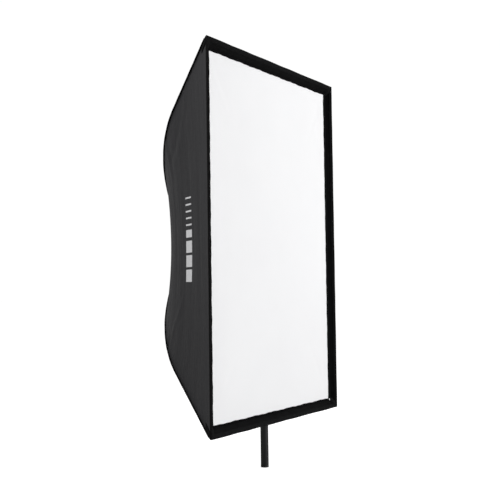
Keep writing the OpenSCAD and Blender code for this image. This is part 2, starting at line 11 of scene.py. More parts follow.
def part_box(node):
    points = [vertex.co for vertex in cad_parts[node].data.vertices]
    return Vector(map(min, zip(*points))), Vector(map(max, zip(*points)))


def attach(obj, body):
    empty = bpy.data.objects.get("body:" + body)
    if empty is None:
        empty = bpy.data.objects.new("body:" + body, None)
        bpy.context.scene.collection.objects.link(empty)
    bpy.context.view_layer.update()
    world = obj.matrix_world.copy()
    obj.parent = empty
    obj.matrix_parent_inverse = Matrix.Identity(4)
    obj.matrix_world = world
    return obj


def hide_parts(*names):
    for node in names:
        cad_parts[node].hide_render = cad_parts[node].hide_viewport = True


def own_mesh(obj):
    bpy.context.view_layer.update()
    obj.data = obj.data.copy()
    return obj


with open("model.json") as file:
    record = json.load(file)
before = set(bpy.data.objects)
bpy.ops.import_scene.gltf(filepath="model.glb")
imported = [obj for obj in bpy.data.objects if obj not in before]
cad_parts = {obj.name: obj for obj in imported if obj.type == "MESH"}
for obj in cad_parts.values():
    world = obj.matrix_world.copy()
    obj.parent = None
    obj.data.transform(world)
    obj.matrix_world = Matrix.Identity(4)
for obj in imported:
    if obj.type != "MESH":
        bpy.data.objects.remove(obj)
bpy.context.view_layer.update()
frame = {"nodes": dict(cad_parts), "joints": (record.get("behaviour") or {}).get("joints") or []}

bl_info = {
    "name": "Folding rectangular softbox",
    "version": (1, 0, 0),
    "blender": (4, 5, 0),
    "location": "3D View > Sidebar > Softbox",
    "description": "Sews the cloth, fits the ribs and finishes the metal of a folding softbox",
    "category": "Object",
}

# ---- Places, taken from the frame ----
SHAFT_Z = sum(corner[2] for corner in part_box("shaft")) / 2
RIM_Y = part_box("top_panel_right")[0][1]
CROWN_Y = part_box("top_panel_right")[1][1]
HALF_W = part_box("right_panel_upper")[1][0]
HALF_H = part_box("top_panel_right")[1][2] - SHAFT_Z
DIFFUSER_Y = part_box("front_diffuser")[0][1]
BAND_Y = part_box("front_band")[0][1]
RIB_AZIMUTH = math.atan2(HALF_H, HALF_W)
CORNER_R = math.hypot(HALF_W, HALF_H)
HINGE = next(joint["pos_m"] for joint in frame["joints"] if joint["name"] == "fold")
HINGE_R = math.hypot(HINGE[0], HINGE[2] - SHAFT_Z)
ROD_INSET = CROWN_Y - HINGE[1]
SIGNS = ((1, 1), (-1, 1), (1, -1), (-1, -1))

# ---- Sizes that follow from how such a box is sewn, in metres or as shares ----
RIM_FOLD = 0.004  # the cloth starts to turn this far before the rim
LIP_WAVE = 0.0003  # how far the rim's edge wanders
BINDING_WIDTH = 0.0062  # what the tape covers of the outer cloth
BINDING_LIFT = 0.0012  # how far the tape's face lies above the cloth
BINDING_SEAM = 0.0054  # where its stitches run, from the rim
LINING_END = 0.93  # share of the length that the lining covers
ZIP_CLOSED = 0.11  # share of the length that stays zipped behind the slit
SLIDER_AT = 0.02  # the slider waits this share behind the slit
TAPE_INNER, TAPE_OUTER = -0.0008, 0.0105  # the zip tape's edges, from the slit's edge
SEAM_START = 0.030  # the bound seams leave the crown patch here, from the rib hinges
PANEL_GRID, LINING_GRID = (112, 64), (72, 40)  # points along and across a cloth half
EDGE_POINTS = 90  # points along a sewn edge


# ---- Sizes and colours that a user would change ----
class ShellSettings(bpy.types.PropertyGroup):
    """Shape of the cloth box."""

    bend_radius: FloatProperty(
        name="Rib bend radius", description="Bend radius of a rib's middle stretch",
        default=0.4, min=0.3, max=0.6, subtype="DISTANCE")
    tip_angle: FloatProperty(
        name="Rib tip angle", description="Angle between a rib's front stretch and the shaft",
        default=math.radians(44), min=math.radians(35), max=math.radians(55), subtype="ANGLE")
    panel_sag: FloatProperty(
        name="Panel sag", description="How far a panel's middle sinks between its ribs",
        default=0.018, min=0.0, max=0.03, subtype="DISTANCE")
    crown_hole: FloatProperty(
        name="Crown hole radius", description="Distance along the ribs from shaft to cloth",
        default=0.0371, min=0.02, max=0.045, subtype="DISTANCE")
    cloth_thickness: FloatProperty(
        name="Cloth thickness", description="Thickness of the outer cloth",
        default=0.0009, min=0.0003, max=0.0015, subtype="DISTANCE")
    lining_depth: FloatProperty(
        name="Lining depth", description="How far the lining's face lies inside the outer cloth",
        default=0.0018, min=0.001, max=0.004, subtype="DISTANCE")
    wrinkle_height: FloatProperty(
        name="Wrinkle height", description="Height of the slack ripples in the outer cloth",
        default=0.0011, min=0.0, max=0.003, subtype="DISTANCE")
    slit_half: FloatProperty(
        name="Slit half width", description="Half the width of the open slit",
        default=0.014, min=0.012, max=0.02, subtype="DISTANCE")
    slit_rear: FloatProperty(
        name="Slit rear", description="Share of the panel's length where the slit begins",
        default=0.405, min=0.38, max=0.5)
    slit_front: FloatProperty(
        name="Slit front", description="Share of the panel's length where the slit ends",
        default=0.945, min=0.92, max=0.955)
    lip_lean: FloatProperty(
        name="Lip lean", description="How far the lip's inner edge stands in from the corner",
        default=0.0248, min=0.015, max=0.035, subtype="DISTANCE")
    border: FloatProperty(
        name="Border width", description="Black border from the rim to the white cloth",
        default=0.027, min=0.024, max=0.045, subtype="DISTANCE")


class FinishSettings(bpy.types.PropertyGroup):
    """Colours and grain sizes."""

    shell_color: FloatVectorProperty(
        name="Shell", description="Colour of the outer cloth", subtype="COLOR", size=3,
        min=0, max=1, default=(0.019, 0.0186, 0.0205))
    # Also the lip's colour: on the lip this near black holds painted shade of the recess as well
    # as the cloth's own black.
    trim_and_lip_shade_color: FloatVectorProperty(
        name="Trim", description="Colour of binding, piping and pockets", subtype="COLOR",
        size=3, min=0, max=1, default=(0.003, 0.003, 0.0033))
    lining_color: FloatVectorProperty(
        name="Lining", description="Colour of the reflecting lining", subtype="COLOR", size=3,
        min=0, max=1, default=(0.74, 0.75, 0.77))
    diffuser_color: FloatVectorProperty(
        name="Diffuser", description="Colour of the front cloth", subtype="COLOR", size=3,
        min=0, max=1, default=(0.93, 0.93, 0.94))
    print_color: FloatVectorProperty(
        name="Print", description="Colour of the printed bars", subtype="COLOR", size=3,
        min=0, max=1, default=(0.62, 0.62, 0.63))
    button_color: FloatVectorProperty(
        name="Button", description="Colour of the release button", subtype="COLOR", size=3,
        min=0, max=1, default=(0.45, 0.02, 0.015))
    thread: FloatProperty(
        name="Thread spacing", description="Spacing of the threads in the outer cloth",
        default=0.0011, min=0.0003, max=0.003, subtype="DISTANCE")
    stitch: FloatProperty(
        name="Stitch length", description="Distance from one stitch to the next",
        default=0.0042, min=0.002, max=0.01, subtype="DISTANCE")
    tooth: FloatProperty(
        name="Zip tooth pitch", description="Distance from one zip tooth to the next",
        default=0.0026, min=0.0015, max=0.005, subtype="DISTANCE")


class StageSettings(bpy.types.PropertyGroup):
    """Camera and light."""

    camera_place: FloatVectorProperty(
        name="Camera", description="Where the camera stands", subtype="TRANSLATION", size=3,
        default=(-1.8145, -1.1462, 0.4439))
    camera_yaw: FloatProperty(
        name="Yaw", description="Direction of view from +Y towards +X",
        default=math.radians(56.922), subtype="ANGLE")
    camera_pitch: FloatProperty(
        name="Pitch", description="Direction of view above the horizon",
        default=math.radians(2.714), subtype="ANGLE")
    camera_roll: FloatProperty(
        name="Roll", description="Turn of the picture", default=math.radians(-0.772),
        subtype="ANGLE")
    lens: FloatProperty(
        name="Lens", description="Focal length in millimetres on a 36 mm sensor",
        default=60.84, min=20, max=200)
    sky: FloatProperty(
        name="Sky", description="Strength of the white surroundings", default=0.32, min=0, max=2)
    key_power: FloatProperty(
        name="Key", description="Power of the big light in watts", default=26, min=0, max=500)
    fill_power: FloatProperty(
        name="Fill", description="Power of the frontal light in watts", default=82, min=0,
        max=500)
    floor_glow: FloatProperty(
        name="Floor glow", description="How much the floor is lifted towards white",
        default=0.85, min=0, max=1)
    floor_size: IntProperty(
        name="Floor", description="Radius of the floor in metres", default=40, min=4, max=100)


SETTINGS = {"softbox_shell": ShellSettings, "softbox_finish": FinishSettings,
            "softbox_stage": StageSettings}


# ---- Shapes as arrays ----
class Outline:
    """The curve that a rib's seam follows, as distance from the shaft and distance forward.

    It runs straight out from the hinge radius, turns along an arc, and runs straight to the
    rim: r = hinge + min(s, back) + R cos c + ahead sin c and f = R (1 - sin c) + ahead cos c,
    where c is the course at the length s and ahead the length past the arc.
    """

    def __init__(self, shell):
        depth = CROWN_Y - RIM_Y
        self.radius = shell.bend_radius
        self.tip = shell.tip_angle
        self.bend = self.radius * (math.pi / 2 - self.tip)
        self.front = (depth - self.radius * (1 - math.sin(self.tip))) / math.cos(self.tip)
        self.back = (CORNER_R - HINGE_R - self.radius * math.cos(self.tip)
                     - self.front * math.sin(self.tip))
        self.length = self.back + self.bend + self.front

    def course(self, s):
        """Angle to the shaft: a right angle, then less by s over R, then the tip angle."""
        return np.clip(math.pi / 2 - (s - self.back) / self.radius, self.tip, math.pi / 2)

    def point(self, s, off=0.0):
        """(r, f) at the length s, moved off outwards along (cos c, -sin c)."""
        c = self.course(s)
        ahead = np.maximum(s - self.back - self.bend, 0)
        r = HINGE_R + np.minimum(s, self.back) + self.radius * np.cos(c) + ahead * np.sin(c)
        f = self.radius * (1 - np.sin(c)) + ahead * np.cos(c)
        return r + off * np.cos(c), f - off * np.sin(c)


def rib_name(x_sign, z_sign):
    """Which rib stands in the quarter."""
    return f"{'top' if z_sign > 0 else 'bottom'}_{'right' if x_sign > 0 else 'left'}"


class Flap:
    """Half of one side of the box: what hangs between a rib and the side's middle line."""

    def __init__(self, side, x_sign, z_sign):
        across = "right" if x_sign > 0 else "left"
        self.side, self.x_sign, self.z_sign = side, x_sign, z_sign
        self.rib = rib_name(x_sign, z_sign)
        if side:
            self.face, self.half = across, "upper" if z_sign > 0 else "lower"
        else:
            self.face, self.half = "top" if z_sign > 0 else "bottom", across
        self.name = f"{self.face}_{self.half}"
        self.panel = f"{self.face}_panel_{self.half}"
        self.lining = f"{self.face}_lining_{self.half}"
        self.body = f"{self.face}_cloth_{self.half}"
        self.has_slit = self.face == "bottom"
        self.sign = (z_sign if side else x_sign)
        self.scale = ((math.cos(RIB_AZIMUTH), math.sin(RIB_AZIMUTH)) if side
                      else (math.sin(RIB_AZIMUTH), math.cos(RIB_AZIMUTH)))

    def place(self, out, along, forward):
        """Row-frame points from distances out, along the side and forward of the crown."""
        x, z = (out, along) if self.side else (along, out)
        x, y, z = np.broadcast_arrays(self.x_sign * x, CROWN_Y - forward,
                                      SHAFT_Z + self.z_sign * z)
        return np.stack([x, y, z], -1)

    def crumple(self, piece, body=None):
        """Hangs a piece on the flap's body, or on the body named, and gives it its own mesh."""
        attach(piece, body or self.body)
        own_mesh(piece)


FLAPS = [Flap(side, x_sign, z_sign) for side in (False, True) for x_sign, z_sign in SIGNS]


def smooth(x):
    """3x^2 - 2x^3 between 0 and 1, and flat outside."""
    x = np.clip(x, 0, 1)
    return x * x * (3 - 2 * x)


def slit_gap(shell, flap, u):
    """Half the slit's width at the share u: full inside, with round ends."""
    if not flap.has_slit:
        return np.zeros_like(u)
    ends = np.minimum(u - shell.slit_rear, shell.slit_front - u) / 0.03
    return shell.slit_half * np.sqrt(1 - (1 - np.clip(ends, 0, 1)) ** 2)


def sag(shell, line, flap, u, v):
    """How far the cloth sinks: a half sine along the length, a parabola from rib to middle."""
    k = flap.scale[0]
    c = line.course(shell.crown_hole - HINGE_R + u * (line.length - shell.crown_hole + HINGE_R))
    depth = shell.panel_sag / k * np.hypot(np.cos(c), k * np.sin(c))
    return depth * np.sin(math.pi * u) * (1 - (1 - v) ** 2)


# Tension folds of each side: ends as (along, length) from the middle of the crown,
# width and height. Along is measured towards +X or +Z.
FOLDS = {
    "left": (
        ((0.30, 0.46), (0.17, 0.30), 0.012, -0.0022), ((0.34, 0.26), (0.13, 0.34), 0.010, 0.0026),
        ((0.38, 0.50), (0.24, 0.42), 0.008, 0.0015), ((0.13, 0.27), (0.0, 0.30), 0.009, 0.0012),
        ((-0.33, 0.27), (-0.22, 0.33), 0.013, -0.0030),
        ((-0.30, 0.30), (-0.12, 0.42), 0.010, 0.0020),
        ((-0.40, 0.46), (-0.29, 0.33), 0.009, 0.0016),
        ((-0.24, 0.22), (-0.05, 0.24), 0.012, 0.0014)),
    "right": (
        ((0.35, 0.28), (0.12, 0.36), 0.011, 0.0024), ((0.38, 0.48), (0.20, 0.36), 0.010, -0.0020),
        ((-0.31, 0.25), (-0.14, 0.37), 0.012, 0.0026),
        ((-0.39, 0.49), (-0.22, 0.40), 0.009, 0.0018)),
    "top": (
        ((0.20, 0.28), (0.05, 0.40), 0.012, 0.0022), ((-0.22, 0.30), (-0.06, 0.36), 0.011, -0.002),
        ((-0.25, 0.50), (-0.10, 0.42), 0.009, 0.0016)),
    "bottom": (
        ((0.22, 0.30), (0.07, 0.22), 0.012, 0.0020), ((-0.21, 0.27), (-0.07, 0.33), 0.011, 0.002),
        ((0.24, 0.50), (0.10, 0.44), 0.009, -0.0016)),
}
FACES = tuple(FOLDS)


def ripples(face, along, s, seed=0):
    """Slack cloth: sines of falling length across the cloth, each bent by a slower sine."""
    random = np.random.default_rng(40 + 7 * FACES.index(face) + seed)
    total = np.zeros(np.broadcast(along, s).shape)
    for wave in (0.11, 0.067, 0.041, 0.026, 0.017):
        phase, bend, lean, size = random.uniform(0, 2 * math.pi, 4)
        drift = 1.3 * np.sin(along / 0.13 + bend) + 0.8 * np.sin(along / 0.047 + lean)
        beat = 0.6 + 0.4 * np.sin(along / (2.6 * wave) + size)
        total = total + math.sqrt(wave / 0.11) * beat * np.sin(
            2 * math.pi * s / wave + phase + drift)
    return total / 2.4


def tension_folds(face, along, s):
    """Ridges: a bell across each fold's line, and a half sine from one end to the other."""
    total = np.zeros(np.broadcast(along, s).shape)
    for (a0, s0), (a1, s1), width, height in FOLDS[face]:
        da, ds = a1 - a0, s1 - s0
        reach = math.hypot(da, ds)
        t = ((along - a0) * da + (s - s0) * ds) / reach ** 2
        off = ((along - a0) * ds - (s - s0) * da) / reach
        off = off + 0.004 * np.sin(9 * t)
        shape = np.exp(-(off / width) ** 2) - 0.35 * np.exp(-((off - 2 * width) / width) ** 2)
        total = total + height * shape * np.sin(math.pi * np.clip(t, 0, 1))
    return total


def panel_points(shell, line, flap, u, v, off, wavy=True):
    """Points of the cloth at shares u of the length and v from rib to middle.

    The outline's point gives how far out and forward; the width between the middle line and
    the rib is shared out by v. The sag sinks the cloth and the ripples lift it.
    """
    start = shell.crown_hole - HINGE_R
    s = start + u * (line.length - start)
    depth = sag(shell, line, flap, u, v)
    r, _ = line.point(s, off - depth)
    far = flap.scale[1] * r
    gap = slit_gap(shell, flap, u)
    along = gap + (far - gap) * (1 - v)
    if wavy:
        signed = flap.sign * along
        edge = smooth(u / 0.12) * smooth((1 - u) / 0.15)
        slack = (smooth((far - along) / 0.05) * 0.8 + 0.2) * edge
        lift = shell.wrinkle_height * ripples(flap.face, signed, s) * slack
        lift = lift + tension_folds(flap.face, signed, s) * edge
        pucker = np.sin(2 * math.pi * s / 0.021 + 2 * np.sin(s / 0.03))
        lift = lift + 0.0007 * edge * pucker * np.exp(-(far - along) / 0.014)
        off = off + lift
    r, f = line.point(s, off - depth)
    return flap.place(flap.scale[0] * r, along, f), np.stack(
        np.broadcast_arrays(flap.sign * along, s), -1)


def lip_profile(shell, line, steps=5, lip_steps=6):
    """The rim's fold and the lip as (r, f): a quadratic curve round the edge, then a line."""
    r0, f0 = line.point(line.length - 0.004)
    depth = CROWN_Y - RIM_Y
    edge = np.array([CORNER_R + 0.0006, depth + 0.0006])
    start, inner = np.array([r0, f0]), np.array([CORNER_R - 0.0055, depth - 0.0018])
    back = np.array([CORNER_R - shell.lip_lean, DIFFUSER_Y * -1 + CROWN_Y - 0.0012])
    t = np.linspace(0, 1, steps + 1)[:, None]
    curve = (1 - t) ** 2 * start + 2 * t * (1 - t) * edge + t ** 2 * inner
    t = np.linspace(0, 1, lip_steps + 1)[1:, None]
    return np.concatenate([curve, inner + t * (back - inner)])


def lip_points(flap, profile, v, wave=0.0):
    """The profile carried along the rim: its two distances, scaled to the side."""
    r, f = profile[:, 0][:, None], profile[:, 1][:, None]
    far = flap.scale[1] * r
    along = far * (1 - v)
    lift = wave * np.sin(flap.sign * along / 0.019 + np.sin(along / 0.05))
    return flap.place(flap.scale[0] * r - lift, along, f), flap.sign * along


# ---- Meshes from arrays ----
def grid_faces(rows, cols, wrap_rows=False, wrap_cols=False):
    """Quads between neighbouring points of a grid, closed round where it wraps."""
    i, j = np.meshgrid(np.arange(rows if wrap_rows else rows - 1),
                       np.arange(cols if wrap_cols else cols - 1), indexing="ij")
    k, m = (i + 1) % rows, (j + 1) % cols
    quads = np.stack([i * cols + j, k * cols + j, k * cols + m, i * cols + m], -1)
    return quads.reshape(-1, 4)


def make_piece(name, points, faces, material, uv=None, merge=False, solid=False, away_from=None):
    """A mesh object from points and faces, with metric UVs; closed shapes turn outwards."""
    points = np.asarray(points, float).reshape(-1, 3)
    if away_from is not None:
        p = points[faces]
        normals = np.cross(p[:, 2] - p[:, 0], p[:, 3] - p[:, 1])
        if (normals * (p.mean(1) - np.asarray(away_from))).sum() < 0:
            faces = faces[:, ::-1]
    mesh = bpy.data.meshes.new(name)
    mesh.from_pydata(points.tolist(), [], faces.tolist())
    if uv is not None:
        corners = np.zeros(len(mesh.loops), np.int32)
        mesh.loops.foreach_get("vertex_index", corners)
        layer = mesh.uv_layers.new(name="Cut")
        flat = np.asarray(uv, np.float32).reshape(-1, 2)[corners]
        layer.data.foreach_set("uv", flat.ravel())
    if merge or solid:
        tidy_mesh(mesh, solid)
    mesh.polygons.foreach_set("use_smooth", np.ones(len(mesh.polygons), bool))
    mesh.materials.append(material)
    piece = bpy.data.objects.new(name, mesh)
    bpy.context.scene.collection.objects.link(piece)
    return piece


def tidy_mesh(mesh, solid):
    """Merges doubled points, so that poles and seams close, and turns a solid outwards."""
    work = bmesh.new()
    work.from_mesh(mesh)
    bmesh.ops.remove_doubles(work, verts=work.verts, dist=1e-6)
    bmesh.ops.dissolve_degenerate(work, edges=work.edges, dist=1e-7)
    if solid:
        bmesh.ops.recalc_face_normals(work, faces=work.faces)
    work.to_mesh(mesh)
    work.free()


def thicken(piece, thickness, offset=-1.0):
    """Gives a sheet its thickness, inwards unless told otherwise."""
    wall = piece.modifiers.new("Thickness", "SOLIDIFY")
    wall.thickness = thickness
    wall.offset = offset
    wall.use_even_offset = False
    edges = piece.modifiers.new("Sharp edges", "EDGE_SPLIT")
    edges.split_angle = math.radians(60)


def declare_sheet(piece):
    """Reads the area of each face of the cloth's own surface; the areas are not used further."""
    mesh = piece.data
    areas = np.zeros(len(mesh.polygons), np.float32)
    mesh.polygons.foreach_get("area", areas)


def arc_length(points):
    """Length along a row of points, from its start."""
    steps = np.linalg.norm(np.diff(points, axis=0), axis=1)
    return np.concatenate([[0], np.cumsum(steps)])


def spaced(points, normals, step, start=0.0):
    """Points, directions and normals at equal steps along a polyline."""
    run = arc_length(points)
    at = np.arange(start + step / 2, run[-1], step)
    where = np.stack([np.interp(at, run, points[:, i]) for i in range(3)], -1)
    ahead = np.stack([np.interp(at + step / 4, run, points[:, i]) for i in range(3)], -1)
    behind = np.stack([np.interp(at - step / 4, run, points[:, i]) for i in range(3)], -1)
    facing = np.stack([np.interp(at, run, normals[:, i]) for i in range(3)], -1)
    way = unit(ahead - behind)
    facing = unit(facing - way * (way * facing).sum(-1, keepdims=True))
    return where, way, facing


def unit(vectors):
    """Vectors made one long."""
    return vectors / np.linalg.norm(vectors, axis=-1, keepdims=True)


def copies(where, way, facing, shape, faces):
    """One small shape, given as (ahead, aside, up) points, set down at every place."""
    aside = np.cross(facing, way)
    axes = np.stack([way, aside, facing], 1)
    points = where[:, None, :] + np.einsum("pk,nkx->npx", shape, axes)
    shift = np.arange(len(where))[:, None, None] * len(shape)
    return points.reshape(-1, 3), (faces[None] + shift).reshape(-1, faces.shape[-1])


def joined(sets):
    """Several sets of points and faces as one."""
    counts = np.cumsum([0] + [len(points) for points, _ in sets])
    return (np.concatenate([points for points, _ in sets]),
            np.concatenate([faces + start for (_, faces), start in zip(sets, counts)]))


def bead(length, width, height):
    """A stitch: five rings of six points along a lens, closed at both ends."""
    t = np.linspace(-1, 1, 5)[:, None]
    a = np.arange(6)[None, :] * math.pi / 3
    girth = np.sqrt(np.clip(1 - t ** 2, 0.04, 1))
    shape = np.stack(np.broadcast_arrays(
        t * length / 2, girth * np.cos(a) * width / 2, girth * np.sin(a) * height / 2), -1)
    return shape.reshape(-1, 3), grid_faces(5, 6, wrap_cols=True)


def block(length, width, height, taper=0.8):
    """A zip tooth: a short block that narrows towards its top, as a closed grid."""
    level, size = np.array([0.0, 0, 1, 1]), np.array([0, 1, taper, 0])
    ring = np.array([[-1, -1], [1, -1], [1, 1], [-1, 1]]) / 2
    x = size[:, None] * ring[None, :, 0] * length
    y = size[:, None] * ring[None, :, 1] * width
    z = np.broadcast_to((level[:, None] - 0.5) * height, x.shape)
    return np.stack([x, y, z], -1).reshape(-1, 3), grid_faces(4, 4, wrap_cols=True)


def rib_points(line, x_sign, z_sign, s, aside, off):
    """Points beside a rib: along its outline, aside across it, and off outwards."""
    r, f = line.point(s, off)
    cos, sin = math.cos(RIB_AZIMUTH), math.sin(RIB_AZIMUTH)
    x = x_sign * (r * cos - aside * sin)
    z = z_sign * (r * sin + aside * cos)
    return np.stack(np.broadcast_arrays(x, CROWN_Y - f, SHAFT_Z + z), -1)


def straighten(piece, line, x_sign, z_sign):
    """Rides on a rib: hangs the piece on the rib's body and gives it its own mesh. The hinge, the
    corner and the step across are worked out but not used.
    """
    hinge = rib_points(line, x_sign, z_sign, 0.0, 0.0, -ROD_INSET)
    corner = rib_points(line, x_sign, z_sign, line.length, 0.0, 0.0)
    across = rib_points(line, x_sign, z_sign, 0.0, 1.0, 0.0) - rib_points(
        line, x_sign, z_sign, 0.0, 0.0, 0.0)
    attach(piece, f"rib_{rib_name(x_sign, z_sign)}")
    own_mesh(piece)
    return piece


# ---- Finishes ----
LOOKS = {}


class Finish:
    """A material being built: short calls that add one node and give its output."""

    def __init__(self, name, roughness, color=None, **sockets):
        self.material = LOOKS[name] = bpy.data.materials.new(f"{name}_finish")
        self.material.use_nodes = True
        self.tree = self.material.node_tree
        self.shader = self.tree.nodes["Principled BSDF"]
        self.shader.inputs["Roughness"].default_value = roughness
        if color is not None:
            self.shader.inputs["Base Color"].default_value = (*color, 1)
        for socket, value in sockets.items():
            self.shader.inputs[socket.replace("_", " ")].default_value = value

    def node(self, kind, inputs=(), **settings):
        """Adds a node, sets its settings, and links or sets its inputs by place or name."""
        made = self.tree.nodes.new(kind)
        for key, value in settings.items():
            setattr(made, key, value)
        for key, value in dict(inputs).items():
            self.feed(made.inputs[key], value)
        return made

    def feed(self, socket, value):
        """Links an output, or sets a plain value."""
        if isinstance(value, bpy.types.NodeSocket):
            self.tree.links.new(value, socket)
        else:
            socket.default_value = value

    def math(self, operation, a, b=0.0):
        return self.node("ShaderNodeMath", {0: a, 1: b}, operation=operation).outputs[0]

    def coords(self, stretch=(1, 1, 1), cut=False):
        """Object coordinates, or the cloth's own UVs, stretched."""
        source = self.node("ShaderNodeTexCoord").outputs["UV" if cut else "Object"]
        return self.node("ShaderNodeMapping", {"Vector": source, "Scale": stretch}).outputs[0]

    def noise(self, scale, detail=3.0, rough=0.55, at=None):
        return self.node("ShaderNodeTexNoise", {
            "Vector": at or self.coords(), "Scale": scale, "Detail": detail,
            "Roughness": rough}).outputs["Fac"]

    def ramp(self, factor, low, high):
        """Maps a factor between two numbers."""
        return self.node("ShaderNodeMapRange", {
            0: factor, 1: 0.25, 2: 0.75, 3: low, 4: high}).outputs[0]

    def tint(self, factor, color, spread):
        """Base colour that runs from darker to lighter by the spread, along a factor."""
        mix = self.node("ShaderNodeMix", data_type="RGBA")
        self.feed(mix.inputs["Factor"], factor)
        self.feed(mix.inputs["A"], (*[c * (1 - spread) for c in color], 1))
        self.feed(mix.inputs["B"], (*[min(1, c * (1 + spread)) for c in color], 1))
        self.tree.links.new(mix.outputs["Result"], self.shader.inputs["Base Color"])

    def rough(self, factor, low, high):
        self.tree.links.new(self.ramp(factor, low, high), self.shader.inputs["Roughness"])

    def bump(self, height, distance, strength=1.0):
        """Adds a bump on top of those already there."""
        normal = self.shader.inputs["Normal"]
        made = self.node("ShaderNodeBump", {
            "Height": height, "Distance": distance, "Strength": strength})
        if normal.links:
            self.tree.links.new(normal.links[0].from_socket, made.inputs["Normal"])
        self.tree.links.new(made.outputs[0], normal)

    def weave(self, thread):
        """Plain weave on the cloth's UVs: warp and weft sines, each on top by turns."""
        cut = self.coords(cut=True)
        split = self.node("ShaderNodeSeparateXYZ", {0: cut})
        turn = 2 * math.pi / (2 * thread)
        warp = self.math("SINE", self.math("MULTIPLY", split.outputs[0], turn))
        weft = self.math("SINE", self.math("MULTIPLY", split.outputs[1], turn))
        return self.math("MULTIPLY_ADD", warp, weft)


def shell_finish(finish):
    """Coated nylon: charcoal, fine weave, a soft sheen and long faint streaks."""
    made = Finish("shell_cloth", 0.62, Specular_IOR_Level=0.22, Sheen_Weight=0.08,
                  Sheen_Roughness=0.4)
    streaks = made.noise(9, 5, 0.6, made.coords((2.2, 26, 1), cut=True))
    clouds = made.noise(7, 3)
    mixed = made.math("ADD", made.math("MULTIPLY", streaks, 0.65),
                      made.math("MULTIPLY", clouds, 0.35))
    made.tint(made.ramp(mixed, 0, 1), finish.shell_color, 0.3)
    made.rough(clouds, 0.5, 0.72)
    made.bump(made.weave(finish.thread), 0.00012, 0.5)
    made.bump(streaks, 0.0016, 0.55)
    return made.material


def trim_finish(finish):
    """Grosgrain tape: nearly black, matt, with cross ribs."""
    made = Finish("trim_tape", 0.85, Specular_IOR_Level=0.12)
    grain = made.noise(420, 2)
    made.tint(made.ramp(grain, 0, 1), finish.trim_and_lip_shade_color, 0.5)
    made.bump(made.weave(finish.thread * 0.8), 0.0002, 0.7)
    made.bump(grain, 0.0002, 0.4)
    return made.material


def loop_finish(finish):
    """Hook-and-loop band: a pile that swallows light."""
    made = Finish("loop_pile", 0.95, Specular_IOR_Level=0.06)
    pile = made.noise(900, 4, 0.7)
    tufts = made.noise(160, 3, 0.6)
    made.tint(made.ramp(tufts, 0, 1), finish.trim_and_lip_shade_color, 0.6)
    made.bump(pile, 0.0005, 0.8)
    made.bump(tufts, 0.0008, 0.5)
    return made.material


def black_lip_and_shade_finish(finish):
    """Inner face of the rim's lip: black cloth, matt, far darker than the shell cloth it is sewn
    from; that extra darkness is painted shade of the recess behind the rim.
    """
    made = Finish("lip_cloth_and_shade", 0.85, Specular_IOR_Level=0.08)
    grain = made.noise(60, 4, 0.6)
    # The trim's near black on the lip: the cloth's own black plus painted shade of the recess.
    made.tint(made.ramp(grain, 0, 1), finish.trim_and_lip_shade_color, 0.55)
    made.bump(made.weave(finish.thread), 0.00015, 0.6)
    made.bump(grain, 0.0012, 0.35)
    return made.material


def lining_finish(finish):
    """Silver-coated lining: half metal, finely crinkled."""
    made = Finish("silver_lining", 0.4, Metallic=0.85)
    crinkle = made.noise(140, 6, 0.65)
    patches = made.noise(12, 3)
    made.tint(made.ramp(patches, 0, 1), finish.lining_color, 0.1)
    made.rough(crinkle, 0.28, 0.5)
    made.bump(crinkle, 0.0009, 0.5)
    made.bump(made.weave(finish.thread * 0.7), 0.0001, 0.35)
    return made.material


def diffuser_finish(finish):
    """White nylon: faint weave and the softest tonal drift."""
    made = Finish("diffuser_cloth", 0.78, Specular_IOR_Level=0.25, Sheen_Weight=0.05)
    drift = made.noise(5, 3)
    folds = made.noise(11, 4, 0.55, made.coords((1.0, 1.0, 0.35)))
    made.tint(made.ramp(drift, 0, 1), finish.diffuser_color, 0.012)
    made.bump(made.weave(0.0008), 0.00008, 0.35)
    made.bump(folds, 0.0022, 0.25)
    return made.material


def coat_finish(name, color, roughness, grain=900, height=0.00012, **sockets):
    """Powder coat, moulded plastic or paint: fine pebbles and worn, uneven gloss."""
    made = Finish(name, roughness, **sockets)
    pebbles = made.noise(grain, 3, 0.6)
    wear = made.noise(28, 5, 0.6)
    made.tint(made.ramp(wear, 0, 1), color, 0.22)
    made.rough(wear, roughness - 0.09, roughness + 0.09)
    made.bump(pebbles, height, 0.5)
    return made.material


def metal_finish(name, color, roughness, along):
    """Drawn or turned metal: hair lines along one axis, uneven shine."""
    made = Finish(name, roughness, Metallic=1.0)
    lines = made.noise(40, 6, 0.7, made.coords(tuple(1.5 if i == along else 60 for i in range(3))))
    smears = made.noise(22, 3)
    made.tint(made.ramp(smears, 0, 1), color, 0.1)
    made.rough(lines, roughness - 0.08, roughness + 0.12)
    made.bump(lines, 0.00006, 0.4)
    return made.material


def print_finish(finish):
    """Screen-printed ink, slightly broken up by the weave."""
    made = Finish("printed_ink", 0.6, Specular_IOR_Level=0.3)
    specks = made.noise(700, 3, 0.6)
    made.tint(made.ramp(specks, 0, 1), finish.print_color, 0.12)
    made.bump(specks, 0.0001, 0.4)
    return made.material


